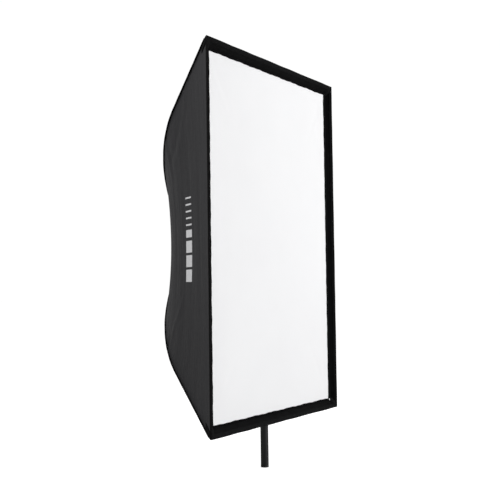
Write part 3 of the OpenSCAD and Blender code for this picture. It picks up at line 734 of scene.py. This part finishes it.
def finishes():
    """Every material by its short name, built once."""
    finish = bpy.context.scene.softbox_finish
    if not LOOKS:
        shell_finish(finish)
        trim_finish(finish)
        loop_finish(finish)
        black_lip_and_shade_finish(finish)
        lining_finish(finish)
        diffuser_finish(finish)
        print_finish(finish)
        coat_finish("thread_black", (0.012, 0.012, 0.013), 0.7, Specular_IOR_Level=0.2)
        coat_finish("thread_white", (0.75, 0.75, 0.76), 0.7, Specular_IOR_Level=0.3)
        coat_finish("painted_tube", (0.007, 0.007, 0.008), 0.42, 300, 0.00008,
                    Specular_IOR_Level=0.3, Coat_Weight=0.12, Coat_Roughness=0.3)
        coat_finish("cast_bracket", (0.014, 0.014, 0.015), 0.5, 1100, 0.00022)
        coat_finish("moulded_knob", (0.011, 0.011, 0.011), 0.46, 1500, 0.0001)
        coat_finish("moulded_hub", (0.016, 0.016, 0.017), 0.5, 1300, 0.00014)
        coat_finish("button_plastic", tuple(finish.button_color), 0.36, 1800, 0.00004)
        coat_finish("shoe_anodised", (0.05, 0.05, 0.053), 0.34, 600, 0.00006, Metallic=0.8)
        coat_finish("zip_tooth", (0.02, 0.02, 0.021), 0.32, 1200, 0.00005)
        metal_finish("shaft_steel", (0.62, 0.63, 0.65), 0.24, 1)
        metal_finish("spigot_steel", (0.58, 0.59, 0.6), 0.28, 2)
        metal_finish("bolt_steel", (0.6, 0.6, 0.62), 0.3, 0)
        metal_finish("rib_steel", (0.34, 0.35, 0.37), 0.34, 1)
        metal_finish("slider_metal", (0.17, 0.17, 0.18), 0.3, 1)
    return LOOKS


# ---- Pieces ----
def panel_piece(shell, flap, looks):
    """Outer cloth of one flap: the side, the fold round the rim and the lip as one sheet."""
    line = Outline(shell)
    rows, cols = PANEL_GRID
    u = np.linspace(0, 1 - RIM_FOLD / line.length, rows)[:, None]
    v = np.linspace(0, 1, cols)[None, :]
    body, cut = panel_points(shell, line, flap, u, v, 0.0)
    lip, along = lip_points(flap, lip_profile(shell, line), v, LIP_WAVE)
    run = arc_length(np.concatenate([body[-1:, -1], lip[:, -1]]))[1:, None]
    lip_cut = np.stack(np.broadcast_arrays(along, line.length + run), -1)
    points = np.concatenate([body, lip])
    faces = grid_faces(points.shape[0], points.shape[1])
    inside = (0, (CROWN_Y + RIM_Y) / 2, SHAFT_Z)
    made = make_piece(f"shell_{flap.name}", points, faces, looks["shell_cloth"],
                      np.concatenate([cut, lip_cut]), away_from=inside)
    # The fold and lip rows take the lip material: black cloth with painted shade of the recess.
    made.data.materials.append(looks["lip_cloth_and_shade"])
    in_lip = np.arange(len(faces)) // (cols - 1) >= rows - 1
    made.data.polygons.foreach_set("material_index", in_lip.astype(np.int32))
    thicken(made, shell.cloth_thickness)
    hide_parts(flap.panel)
    length = arc_length(points[:, -1])[-1]
    return made, (HALF_H if flap.side else HALF_W), length


def stitch_piece(name, rows, material, length=0.0030):
    """Stitches set down along rows of points, each row with its outward direction."""
    shape, faces = bead(length, 0.0008, 0.0006)
    pitch = bpy.context.scene.softbox_finish.stitch
    sets = [copies(*spaced(points, normals, pitch), shape, faces) for points, normals in rows]
    return make_piece(name, *joined(sets), material)


def outward(points):
    """Directions from the box's middle towards points of its skin."""
    centre = np.array([0, (CROWN_Y + RIM_Y) / 2 + 0.1, SHAFT_Z])
    return unit(points - centre)


def binding_piece(shell, flap, looks):
    """Tape folded over the rim's edge, and the row of stitches that holds it."""
    line = Outline(shell)
    u = 1 - np.linspace(BINDING_WIDTH, RIM_FOLD, 4)[:, None] / line.length
    v = np.linspace(0, 1, PANEL_GRID[1])[None, :]
    skin, cut = panel_points(shell, line, flap, u, v, BINDING_LIFT)
    profile = lip_profile(shell, line)[:8]
    way = unit(np.gradient(profile, axis=0))
    profile = profile + BINDING_LIFT * np.stack([way[:, 1], -way[:, 0]], -1)
    fold, along = lip_points(flap, profile, v, LIP_WAVE)
    run = 0.0055 + arc_length(fold[:, -1])[:, None]
    fold_cut = np.stack(np.broadcast_arrays(along, line.length + run), -1)
    points = np.concatenate([skin[:-1], fold])
    made = make_piece(f"binding_{flap.name}", points, grid_faces(*points.shape[:2]),
                      looks["trim_tape"], np.concatenate([cut[:-1], fold_cut]),
                      away_from=(0, CROWN_Y, SHAFT_Z))
    thicken(made, 0.0007)
    seam, _ = panel_points(shell, line, flap, np.array([[1 - BINDING_SEAM / line.length]]),
                           np.linspace(0.02, 1, EDGE_POINTS)[None, :], BINDING_LIFT)
    sewn = stitch_piece(f"stitches_{flap.name}", [(seam[0], outward(seam[0]))],
                        looks["thread_black"])
    return made, sewn


class SOFTBOX_OT_shell(bpy.types.Operator):
    """Sew the eight outer cloths with their lips, bindings and stitches"""

    bl_idname = "softbox.shell"
    bl_label = "Outer cloth"

    def execute(self, context):
        shell, looks = context.scene.softbox_shell, finishes()
        for flap in FLAPS:
            panel, width, length = panel_piece(shell, flap, looks)
            trims = binding_piece(shell, flap, looks)
            for piece in (panel, *trims):
                flap.crumple(piece)
            declare_sheet(panel)
        return {"FINISHED"}


def lining_piece(shell, flap, looks):
    """Reflecting lining just inside one flap's outer cloth, from crown to behind the lip."""
    line = Outline(shell)
    rows, cols = LINING_GRID
    u = np.linspace(0.0, LINING_END, rows)[:, None]
    v = np.linspace(0.012, 1, cols)[None, :]
    points, cut = panel_points(shell, line, flap, u, v, -shell.lining_depth)
    made = make_piece(f"lining_{flap.name}", points, grid_faces(*points.shape[:2]),
                      looks["silver_lining"], cut, away_from=(0, CROWN_Y * 0.4, SHAFT_Z))
    thicken(made, 0.0005)
    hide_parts(flap.lining)
    return made, np.ptp(cut[-1, :, 0]), arc_length(points[:, -1])[-1]


class SOFTBOX_OT_lining(bpy.types.Operator):
    """Sew the eight silver linings"""

    bl_idname = "softbox.lining"
    bl_label = "Lining"

    def execute(self, context):
        shell, looks = context.scene.softbox_shell, finishes()
        for flap in FLAPS:
            lining, width, length = lining_piece(shell, flap, looks)
            flap.crumple(lining)
            declare_sheet(lining)
        return {"FINISHED"}


def face_sheet(flap, inner, outer, y, relief, cols=48, rows=40):
    """A sector of the face: rows from inner to outer half sizes, columns from middle to corner.

    Across a row the point runs from the side's middle line to the mitre at the corner.
    """
    p = np.linspace(0, 1, rows)[:, None]
    q = np.linspace(0, 1, cols)[None, :]
    half = np.array(inner)[:, None, None] * (1 - p) + np.array(outer)[:, None, None] * p
    out, far = (half[0], half[1]) if flap.side else (half[1], half[0])
    along = far * q
    x, z = (out, along) if flap.side else (along, out)
    x, z = flap.x_sign * x, flap.z_sign * z
    x, z, lift = np.broadcast_arrays(x, z, relief(x, z))
    return np.stack([x, y - lift, SHAFT_Z + z], -1), np.stack([x, z], -1)


def diffuser_relief(x, z):
    """Faint slack in the white cloth: crossed long sines, and folds running from the corners."""
    slow = np.sin(x / 0.083 + 1.1 * np.sin(z / 0.21)) + np.sin(z / 0.117 + 1.4 * np.sin(x / 0.16))
    fine = np.sin((x + 0.6 * z) / 0.021 + 2 * np.sin(z / 0.09)) * np.exp(-(x / 0.2) ** 2)
    corner = np.exp(-((np.abs(x) / HALF_W - np.abs(z) / HALF_H) / 0.06) ** 2)
    near = smooth((np.hypot(x, z) - 0.25) / 0.2)
    pull = corner * near * np.sin((np.abs(x) - 0.667 * np.abs(z)) / 0.007)
    fade = smooth((HALF_W - 0.03 - np.abs(x)) / 0.04) * smooth((HALF_H - 0.03 - np.abs(z)) / 0.04)
    return fade * (0.0009 * slow + 0.00022 * fine + 0.0005 * pull)


class SOFTBOX_OT_diffuser(bpy.types.Operator):
    """Stretch the white cloth over the front and band its edge"""

    bl_idname = "softbox.diffuser"
    bl_label = "Diffuser and band"

    def execute(self, context):
        shell, looks = context.scene.softbox_shell, finishes()
        lean = np.array([math.cos(RIB_AZIMUTH), math.sin(RIB_AZIMUTH)]) * shell.lip_lean
        outer = np.array([HALF_W, HALF_H]) - lean - 0.0006
        inner = np.array([HALF_W, HALF_H]) - shell.border
        for flap in FLAPS:
            points, cut = face_sheet(flap, (0.0, 0.0), outer, DIFFUSER_Y, diffuser_relief, 64, 64)
            white = make_piece(f"diffuser_{flap.name}", points, grid_faces(*points.shape[:2]),
                               looks["diffuser_cloth"], cut, merge=True,
                               away_from=(0, DIFFUSER_Y + 1, SHAFT_Z))
            thicken(white, 0.0004)
            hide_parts("front_diffuser")
            band = self.band(flap, inner, outer, looks)
            for piece in (white, band):
                self.gather(flap, piece)
            declare_sheet(white)
        self.corner_fold(shell, looks)
        return {"FINISHED"}

    def band(self, flap, inner, outer, looks):
        """The black band: its inner edge wanders a little, as a sewn edge does."""
        wander = 0.0005
        points, cut = face_sheet(flap, inner, outer, BAND_Y + 0.0006, lambda x, z: 0 * x, 120, 9)
        edge = (cut[..., 0] if not flap.side else cut[..., 1])[0]
        sway = wander * (np.sin(edge / 0.013) + 0.7 * np.sin(edge / 0.0047 + 1))
        depth = np.linspace(1, 0, 9)[:, None]
        axis, sign = (0, flap.x_sign) if flap.side else (2, flap.z_sign)
        points[..., axis] += sign * sway * depth
        points[..., 1] -= 0.0006 * np.sin(np.linspace(0, math.pi, 9))[:, None]
        made = make_piece(f"band_{flap.name}", points, grid_faces(*points.shape[:2]),
                          looks["loop_pile"], cut, away_from=(0, DIFFUSER_Y + 1, SHAFT_Z))
        thicken(made, 0.0008)
        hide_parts("front_band")
        return made

    def gather(self, flap, piece):
        """Rides on the flap: hangs the piece on the flap's body and gives it its own mesh."""
        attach(piece, flap.body)
        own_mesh(piece)

    def corner_fold(self, shell, looks):
        """A turned-out tip of white cloth in the mitre at the lower right corner."""
        t = np.linspace(0, 1, 9)[:, None]
        w = np.linspace(-1, 1, 5)[None, :]
        width = 0.0016 * np.sqrt(np.clip(1 - t ** 3, 0, 1))
        reach = shell.border - 0.002 + 0.0 * w
        x = HALF_W - reach + t * 0.017 + w * width * 0.8
        z = -(HALF_H - reach) - t * 0.021 + w * width * 0.6
        y = BAND_Y - 0.0008 - 0.0016 * np.sin(math.pi * t) + 0.0 * w
        points = np.stack(np.broadcast_arrays(x, y, SHAFT_Z + z), -1)
        made = make_piece("diffuser_corner_tip", points, grid_faces(9, 5),
                          looks["diffuser_cloth"], points[..., [0, 2]], merge=True,
                          away_from=(0, DIFFUSER_Y + 1, SHAFT_Z))
        thicken(made, 0.0004)
        flap = next(f for f in FLAPS if f.name == "right_lower")
        self.gather(flap, made)
        declare_sheet(made)


def piping_piece(line, x_sign, z_sign, rib, looks):
    """Bound seam over a rib: a lens-shaped tube carried along the outline."""
    s = np.linspace(SEAM_START, line.length - 0.012, 150)[:, None]
    a = np.linspace(0, 2 * math.pi, 14, endpoint=False)[None, :]
    swell = 1 + 0.07 * np.sin(s / 0.0085) * np.sin(s / 0.031)
    aside = 0.0038 * np.cos(a) * swell
    off = 0.0011 + 0.0019 * np.sin(a) * swell
    points = rib_points(line, x_sign, z_sign, s, aside, off)
    cut = np.stack(np.broadcast_arrays(a * 0.003, s), -1)
    made = make_piece(f"piping_{rib}", points, grid_faces(150, 14, wrap_cols=True),
                      looks["trim_tape"], cut, solid=True)
    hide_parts(f"seam_{rib}")
    return made


def seam_stitches(line, x_sign, z_sign, rib, looks):
    """Two rows of stitches beside the piping."""
    rows = []
    s = np.linspace(SEAM_START + 0.004, line.length - 0.045, 120)
    for aside in (-0.0062, 0.0062):
        sink = 0.0001 - abs(aside) * 0.75
        points = rib_points(line, x_sign, z_sign, s, aside, sink + 0.0011)
        rows.append((points, outward(points)))
    made = stitch_piece(f"seam_stitches_{rib}", rows, looks["thread_black"])
    return made


def pocket_piece(line, x_sign, z_sign, rib, looks):
    """Pocket over a rib's tip: a rounded square tube along the corner, closed at both ends.

    Its section is a superellipse across the shaft, and its size follows a flat-topped bell.
    """
    q = np.linspace(-1, 1, 34)[:, None]
    a = np.linspace(0, 2 * math.pi, 36, endpoint=False)[None, :]
    size = (1 - np.abs(q) ** 7) ** 0.5
    r, f = line.point(line.length - 0.0175 + 0.0205 * q)
    power = 2 / 5
    x = np.sign(np.cos(a)) * np.abs(np.cos(a)) ** power
    z = np.sign(np.sin(a)) * np.abs(np.sin(a)) ** power
    half = 0.0098 - 0.0006 * q
    x = r * math.cos(RIB_AZIMUTH) - half + 0.0012 + half * size * x
    z = r * math.sin(RIB_AZIMUTH) - half + 0.0012 + half * size * z
    f = f - 0.004 * (1 + q) / 2
    points = np.stack(np.broadcast_arrays(x_sign * x, CROWN_Y - f, SHAFT_Z + z_sign * z), -1)
    cut = np.stack(np.broadcast_arrays(a * 0.01, 0.02 * q), -1)
    made = make_piece(f"corner_pocket_{rib}", points, grid_faces(34, 36, wrap_cols=True),
                      looks["trim_tape"], cut, solid=True)
    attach(made, f"rib_{rib}")
    return made


def rod_piece(line, x_sign, z_sign, rib, looks):
    """Rib rod: a round rod with a ferrule and a sleeve, carried along the outline."""
    end = line.length - 0.020
    s = np.concatenate([np.linspace(0.0115, 0.0285, 12), np.linspace(0.0295, end, 96)])[:, None]
    a = np.linspace(0, 2 * math.pi, 16, endpoint=False)[None, :]
    girth = np.where((s > 0.012) & (s < 0.028), 0.003, 0.002)
    girth = girth * np.where((s <= 0.0116) | (s >= end), 0.0, 1.0)
    for joint in (line.back + ROD_INSET / 2, line.back + line.bend):
        girth = girth + 0.0005 * (np.abs(s - joint) < 0.005)
    points = rib_points(line, x_sign, z_sign, s, girth * np.cos(a), girth * np.sin(a) - ROD_INSET)
    rod = make_piece(f"rib_rod_{rib}", points, grid_faces(108, 16, wrap_cols=True),
                     looks["rib_steel"], solid=True)
    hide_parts(f"rib_{rib}")
    return rod


def eye_piece(line, x_sign, z_sign, rib, looks):
    """Hinge tongue: a flat tongue with a round eye, as a ring of sections round the hole."""
    a = np.linspace(0, 2 * math.pi, 48, endpoint=False)[:, None]
    reach = 0.0022 / np.maximum(np.abs(np.sin(a)), 1e-6)
    tongue = np.where(np.cos(a) > 0, np.minimum(0.0135, reach), 0.0)
    outer = np.maximum(0.004, tongue)
    ring = np.array([[0, -0.0014], [1, -0.0014], [1, 0.0014], [0, 0.0014]])
    radius = 0.0016 + ring[:, 0] * (outer - 0.0016)
    points = rib_points(line, x_sign, z_sign, radius * np.cos(a), ring[:, 1] + 0 * radius,
                        radius * np.sin(a) - ROD_INSET)
    made = make_piece(f"rib_eye_{rib}", points, grid_faces(48, 4, True, True),
                      looks["rib_steel"], solid=True)
    flat_edges(made)
    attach(made, f"rib_{rib}")
    return made


def flat_edges(piece, angle=35):
    """Keeps edges crisp: faces that meet at more than the angle don't share their shading."""
    piece.data.set_sharp_from_angle(angle=math.radians(angle))


class SOFTBOX_OT_ribs(bpy.types.Operator):
    """Fit the four ribs, their bound seams and their corner pockets"""

    bl_idname = "softbox.ribs"
    bl_label = "Ribs and seams"

    def execute(self, context):
        line, looks = Outline(context.scene.softbox_shell), finishes()
        for x_sign, z_sign in SIGNS:
            rib = rib_name(x_sign, z_sign)
            for maker in (rod_piece, piping_piece, seam_stitches):
                straighten(maker(line, x_sign, z_sign, rib, looks), line, x_sign, z_sign)
            eye_piece(line, x_sign, z_sign, rib, looks)
            pocket_piece(line, x_sign, z_sign, rib, looks)
        return {"FINISHED"}


class SOFTBOX_OT_crown_cover(bpy.types.Operator):
    """Sew the round patch over the crown, with its ring and two rows of stitches"""

    bl_idname = "softbox.crown_cover"
    bl_label = "Crown patch"

    def execute(self, context):
        looks = finishes()
        low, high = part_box("crown_patch")
        radius, hole = (high[0] - low[0]) / 2, 0.0056
        profile = self.profile(radius, hole, low[1])
        a = np.linspace(0, 2 * math.pi, 96, endpoint=False)[None, :]
        r, y = profile[:, :1], profile[:, 1:]
        y = y + 0.0003 * np.sin(9 * a) * smooth((r - 0.02) / 0.02)
        points = np.stack(np.broadcast_arrays(r * np.cos(a), y, SHAFT_Z + r * np.sin(a)), -1)
        cut = points[..., [0, 2]]
        patch = make_piece("crown_cover", points, grid_faces(len(profile), 96, True, True),
                           looks["trim_tape"], cut, solid=True)
        rows = []
        for at in (radius - 0.004, radius - 0.0065, 0.0125):
            b = np.linspace(0, 2 * math.pi, 120)
            ring = np.stack([at * np.cos(b), np.full_like(b, low[1] + 0.0021),
                             SHAFT_Z + at * np.sin(b)], -1)
            rows.append((ring, np.broadcast_to([0.0, 1.0, 0.0], ring.shape)))
        sewn = stitch_piece("crown_stitches", rows, looks["thread_black"])
        for piece in (patch, sewn):
            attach(piece, "shaft")
        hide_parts("crown_patch")
        return {"FINISHED"}

    def profile(self, radius, hole, y):
        """Section of the patch from hole to edge and back: flat, with a raised inner ring."""
        r = np.concatenate([np.linspace(hole, 0.017, 8), np.linspace(0.0185, radius, 16)])
        top = y + 0.0014 + 0.0012 * smooth((0.018 - r) / 0.002)
        top = top - 0.0011 * smooth((r - radius + 0.003) / 0.003)
        under = np.stack([r[::-1], np.full_like(r, y + 0.0001)], -1)
        return np.concatenate([np.stack([r, top], -1), under])


def zip_line(shell, line, x_sign, off):
    """The slit's edge: gap from the middle, and the cloth's point there, as the length runs."""
    flap = next(f for f in FLAPS if f.face == "bottom" and f.x_sign == x_sign)
    u = np.linspace(shell.slit_rear - ZIP_CLOSED, shell.slit_front, EDGE_POINTS)
    points, _ = panel_points(shell, line, flap, u, np.ones(EDGE_POINTS), off, wavy=False)
    return flap, points


class SOFTBOX_OT_zip(bpy.types.Operator):
    """Sew the zip along the slit and hang its slider"""

    bl_idname = "softbox.zip"
    bl_label = "Zip"

    def execute(self, context):
        shell, looks = context.scene.softbox_shell, finishes()
        line = Outline(shell)
        for x_sign in (1, -1):
            flap, edge = zip_line(shell, line, x_sign, 0.0016)
            across = np.linspace(TAPE_INNER, TAPE_OUTER, 7)[None, :]
            ahead = unit(np.gradient(edge, axis=0))
            down = np.cross(ahead, [x_sign, 0, 0]) * x_sign
            down = down * np.sign(-down[:, 2:])
            points = edge[:, None, :] + across[..., None] * np.array([x_sign, 0, 0])
            sag = 0.0006 * (1 - (across / TAPE_OUTER) ** 2)
            points = points + down[:, None, :] * sag[..., None]
            run = arc_length(edge)[:, None]
            cut = np.stack(np.broadcast_arrays(across, run), -1)
            tape = make_piece(f"zip_tape_{flap.half}", points, grid_faces(EDGE_POINTS, 7),
                              looks["trim_tape"], cut, away_from=(0, 0, SHAFT_Z))
            thicken(tape, 0.0006)
            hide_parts(f"zip_{flap.half}")
            teeth = self.teeth(context, edge, down, x_sign, flap, looks)
            for piece in (tape, teeth):
                flap.crumple(piece)
            declare_sheet(tape)
        self.slider(shell, line, looks)
        return {"FINISHED"}

    def teeth(self, context, edge, down, x_sign, flap, looks):
        """Teeth at even steps along the edge; the two rows stand half a step apart."""
        pitch = context.scene.softbox_finish.tooth
        shape, faces = block(0.0013, 0.0026, 0.0017)
        where, way, facing = spaced(edge, down, pitch, start=0 if x_sign > 0 else pitch / 2)
        where = where + facing * 0.0008 + np.array([x_sign * -0.0002, 0, 0])
        points, quads = copies(where, way, facing, shape, faces)
        made = make_piece(f"zip_teeth_{flap.half}", points, quads, looks["zip_tooth"], solid=True)
        flat_edges(made)
        return made

    def slider(self, shell, line, looks):
        """Slider and pull tab, tipped to lie along the cloth behind the slit."""
        flap = next(f for f in FLAPS if f.name == "bottom_right")
        u = shell.slit_rear - SLIDER_AT - np.array([0, ZIP_CLOSED])
        at, _ = panel_points(shell, line, flap, u, np.ones(2), 0.0042, wavy=False)
        ahead = unit(at[1] - at[0])
        up = np.cross(ahead, [1, 0, 0])
        up = up * -np.sign(up[2])
        axes = np.stack([np.cross(up, ahead), ahead, up])
        t = np.linspace(0, math.pi, 14)[:, None]
        a = np.linspace(0, 2 * math.pi, 28, endpoint=False)[None, :]
        lobe = np.sign(np.cos(a)) * np.abs(np.cos(a)) ** 0.5
        side = np.sign(np.sin(a)) * np.abs(np.sin(a)) ** 0.5
        waist = 1 - 0.25 * smooth((lobe * np.sin(t) + 0.2) / 1.2)
        body = np.stack(np.broadcast_arrays(
            0.0048 * side * np.sin(t) ** 0.4 * waist, 0.0068 * lobe * np.sin(t) ** 0.4,
            0.0018 * np.cos(t)), -1)
        ring, ring_faces = self.pull()
        points, faces = joined([(body.reshape(-1, 3), grid_faces(14, 28, wrap_cols=True)),
                                (ring, ring_faces)])
        points = points @ axes + at[0]
        made = make_piece("zip_slider_and_pull", points, faces, looks["slider_metal"], solid=True)
        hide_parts("zip_slider")
        flap.crumple(made, "zip_slider")

    def pull(self):
        """The pull tab: a long ring, its section a thin rectangle carried round a stadium."""
        a = np.linspace(0, 2 * math.pi, 40, endpoint=False)[:, None]
        section = np.array([[0, -1], [1, -1], [1, 1], [0, 1]])
        width = 0.0016 + section[:, 0] * 0.0016
        stretch = 0.0085 * np.sign(np.cos(a)) * smooth(np.abs(np.cos(a)) * 4)
        x = width * np.sin(a)
        y = 0.012 + stretch + width * np.cos(a)
        z = 0.0032 + 0.0006 * section[:, 1] + 0 * a
        points = np.stack(np.broadcast_arrays(x, y, z), -1).reshape(-1, 3)
        return points, grid_faces(40, 4, True, True)


# Printed bars on the left side: start and end along the side, and how wide.
PRINT_BARS = ((-0.101, -0.072, 0.045), (-0.066, -0.038, 0.045), (-0.032, -0.004, 0.045),
              (0.004, 0.022, 0.045), (0.032, 0.036, 0.045), (0.048, 0.052, 0.045),
              (0.064, 0.068, 0.045), (0.080, 0.084, 0.045), (0.096, 0.100, 0.045))
PRINT_AT = 0.452


class SOFTBOX_OT_print(bpy.types.Operator):
    """Print the plain bars on the left side"""

    bl_idname = "softbox.print_bars"
    bl_label = "Printed bars"

    def execute(self, context):
        shell, looks = context.scene.softbox_shell, finishes()
        for flap in (f for f in FLAPS if f.face == "left"):
            bars = [bar for bar in PRINT_BARS if flap.sign * (bar[0] + bar[1]) > 0]
            points, faces = joined([self.bar(shell, flap, *bar) for bar in bars])
            made = make_piece(f"printed_bars_{flap.half}", points, faces, looks["printed_ink"],
                              away_from=(0, 0, SHAFT_Z))
            thicken(made, 0.0001)
            flap.crumple(made)
        return {"FINISHED"}

    def bar(self, shell, flap, start, end, width):
        """A rectangle on the cloth, found from the share of the width at each length."""
        line = Outline(shell)
        first = shell.crown_hole - HINGE_R
        s = PRINT_AT + width * np.linspace(-0.5, 0.5, 10)[:, None]
        along = np.abs(np.linspace(start, end, 3 + int(abs(end - start) / 0.003)))[None, :]
        u = (s - first) / (line.length - first)
        v = np.full(np.broadcast(u, along).shape, 0.8)
        for _ in range(4):
            r, _ = line.point(s, 0.0006 - sag(shell, line, flap, u, v))
            v = 1 - along / (flap.scale[1] * r)
        points, _ = panel_points(shell, line, flap, u, v, 0.0006)
        return points.reshape(-1, 3), grid_faces(*points.shape[:2])


NODE_FINISHES = {
    "painted_tube": ("stand_tube",),
    "spigot_steel": ("spigot",),
    "cast_bracket": ("bracket_base", "bracket_head"),
    "bolt_steel": ("tilt_bolt", "crown_pins", "runner_pins", "button_leaf"),
    "moulded_knob": ("tilt_lever", "shaft_knob", "socket_knob", "shaft_cap"),
    "shoe_anodised": ("flash_shoe",),
    "shaft_steel": ("shaft",),
    "moulded_hub": ("crown", "crown_nut", "runner"),
    "button_plastic": ("runner_button",),
}
RIB_NODE_FINISHES = {"moulded_hub": ("clip",), "moulded_knob": ("tip",),
                     "rib_steel": ("stretcher",)}


class SOFTBOX_OT_hardware(bpy.types.Operator):
    """Finish the tube, bracket, shaft, hub and stretchers"""

    bl_idname = "softbox.hardware"
    bl_label = "Metal and plastic"

    def execute(self, context):
        looks = finishes()
        ribs = [flap.rib for flap in FLAPS if not flap.side]
        for look, names in NODE_FINISHES.items():
            self.finish(looks[look], names)
        for look, kinds in RIB_NODE_FINISHES.items():
            self.finish(looks[look], [f"{kind}_{rib}" for kind in kinds for rib in ribs])
        return {"FINISHED"}

    def finish(self, material, names):
        for name in names:
            node = frame["nodes"][name]
            if not node.material_slots:
                node.data.materials.append(material)
            for place in node.material_slots:
                place.material = material


class SOFTBOX_OT_stage(bpy.types.Operator):
    """Set the floor, the soft light and the camera"""

    bl_idname = "softbox.stage"
    bl_label = "Stage"

    def execute(self, context):
        stage = context.scene.softbox_stage
        context.scene.view_settings.view_transform = "Standard"
        self.floor(stage)
        self.sky(context, stage)
        centre = Vector((0, 0.05, SHAFT_Z))
        self.light("key", stage.key_power, 0.8, Vector((-1.3, 0.8, 2.0)), centre)
        self.light("fill", stage.fill_power, 2.4, Vector((1.2, -3.0, 1.3)), centre)
        self.camera(context, stage)
        return {"FINISHED"}

    def floor(self, stage):
        made = Finish("pale_floor", 0.7, Specular_IOR_Level=0.1, Emission_Color=(1, 1, 1, 1))
        made.tint(made.ramp(made.noise(3, 4), 0, 1), (0.6, 0.6, 0.6), 0.01)
        seen = made.node("ShaderNodeLightPath").outputs["Is Camera Ray"]
        glow = made.math("MULTIPLY", seen, stage.floor_glow)
        made.feed(made.shader.inputs["Emission Strength"], glow)
        r = np.array([0.0, 0.5, 2, 8, stage.floor_size])[:, None]
        a = np.linspace(0, 2 * math.pi, 64, endpoint=False)[None, :]
        points = np.stack(np.broadcast_arrays(r * np.cos(a), r * np.sin(a), -0.0004), -1)
        floor = make_piece("floor", points, grid_faces(5, 64, wrap_cols=True), made.material,
                           merge=True, away_from=(0, 0, -5))

    def sky(self, context, stage):
        """White all round; what lights the object is dimmer than what stands behind it."""
        world = bpy.data.worlds.new("white_room")
        context.scene.world = world
        world.use_nodes = True
        tree = world.node_tree
        background = tree.nodes["Background"]
        background.inputs["Color"].default_value = (1, 1, 1, 1)
        path = tree.nodes.new("ShaderNodeLightPath")
        level = tree.nodes.new("ShaderNodeMapRange")
        level.inputs["To Min"].default_value = stage.sky
        level.inputs["To Max"].default_value = 1.02
        tree.links.new(path.outputs["Is Camera Ray"], level.inputs["Value"])
        tree.links.new(level.outputs[0], background.inputs["Strength"])

    def light(self, name, power, size, place, aim):
        data = bpy.data.lights.new(name, "AREA")
        data.energy, data.size = power, size
        lamp = bpy.data.objects.new(name, data)
        lamp.location = place
        lamp.rotation_euler = (aim - place).to_track_quat("-Z", "Y").to_euler()
        bpy.context.scene.collection.objects.link(lamp)

    def camera(self, context, stage):
        """Camera from its place, its direction of view and its roll."""
        data = bpy.data.cameras.new("camera")
        data.lens, data.sensor_width = stage.lens, 36
        data.clip_start = 0.05
        eye = bpy.data.objects.new("camera", data)
        flat = math.cos(stage.camera_pitch)
        ahead = Vector((math.sin(stage.camera_yaw) * flat, math.cos(stage.camera_yaw) * flat,
                        math.sin(stage.camera_pitch)))
        right = ahead.cross(Vector((0, 0, 1))).normalized()
        above = right.cross(ahead)
        cos, sin = math.cos(stage.camera_roll), math.sin(stage.camera_roll)
        right, above = cos * right + sin * above, cos * above - sin * right
        turn = Matrix((right, above, -ahead)).transposed().to_4x4()
        eye.matrix_world = Matrix.Translation(stage.camera_place) @ turn
        context.scene.collection.objects.link(eye)
        context.scene.camera = eye


class SOFTBOX_PT_panel(bpy.types.Panel):
    """Lists the softbox's makers and their settings"""

    bl_idname = "SOFTBOX_PT_panel"
    bl_label = "Softbox"
    bl_space_type = "VIEW_3D"
    bl_region_type = "UI"
    bl_category = "Softbox"

    def draw(self, context):
        for kind in OPERATORS:
            self.layout.operator(kind.bl_idname)
        for name, group in SETTINGS.items():
            box = self.layout.box()
            for prop in group.__annotations__:
                box.prop(getattr(context.scene, name), prop)


OPERATORS = (SOFTBOX_OT_hardware, SOFTBOX_OT_ribs, SOFTBOX_OT_shell, SOFTBOX_OT_lining,
             SOFTBOX_OT_diffuser, SOFTBOX_OT_crown_cover, SOFTBOX_OT_zip, SOFTBOX_OT_print,
             SOFTBOX_OT_stage)
CLASSES = (*SETTINGS.values(), *OPERATORS, SOFTBOX_PT_panel)


def register():
    for kind in CLASSES:
        bpy.utils.register_class(kind)
    for name, group in SETTINGS.items():
        setattr(bpy.types.Scene, name, PointerProperty(type=group))


def unregister():
    for name in SETTINGS:
        delattr(bpy.types.Scene, name)
    for kind in reversed(CLASSES):
        bpy.utils.unregister_class(kind)


def main():
    register()
    for kind in OPERATORS:
        space, name = kind.bl_idname.split(".")
        getattr(getattr(bpy.ops, space), name)()


if __name__ == "__main__":
    main()
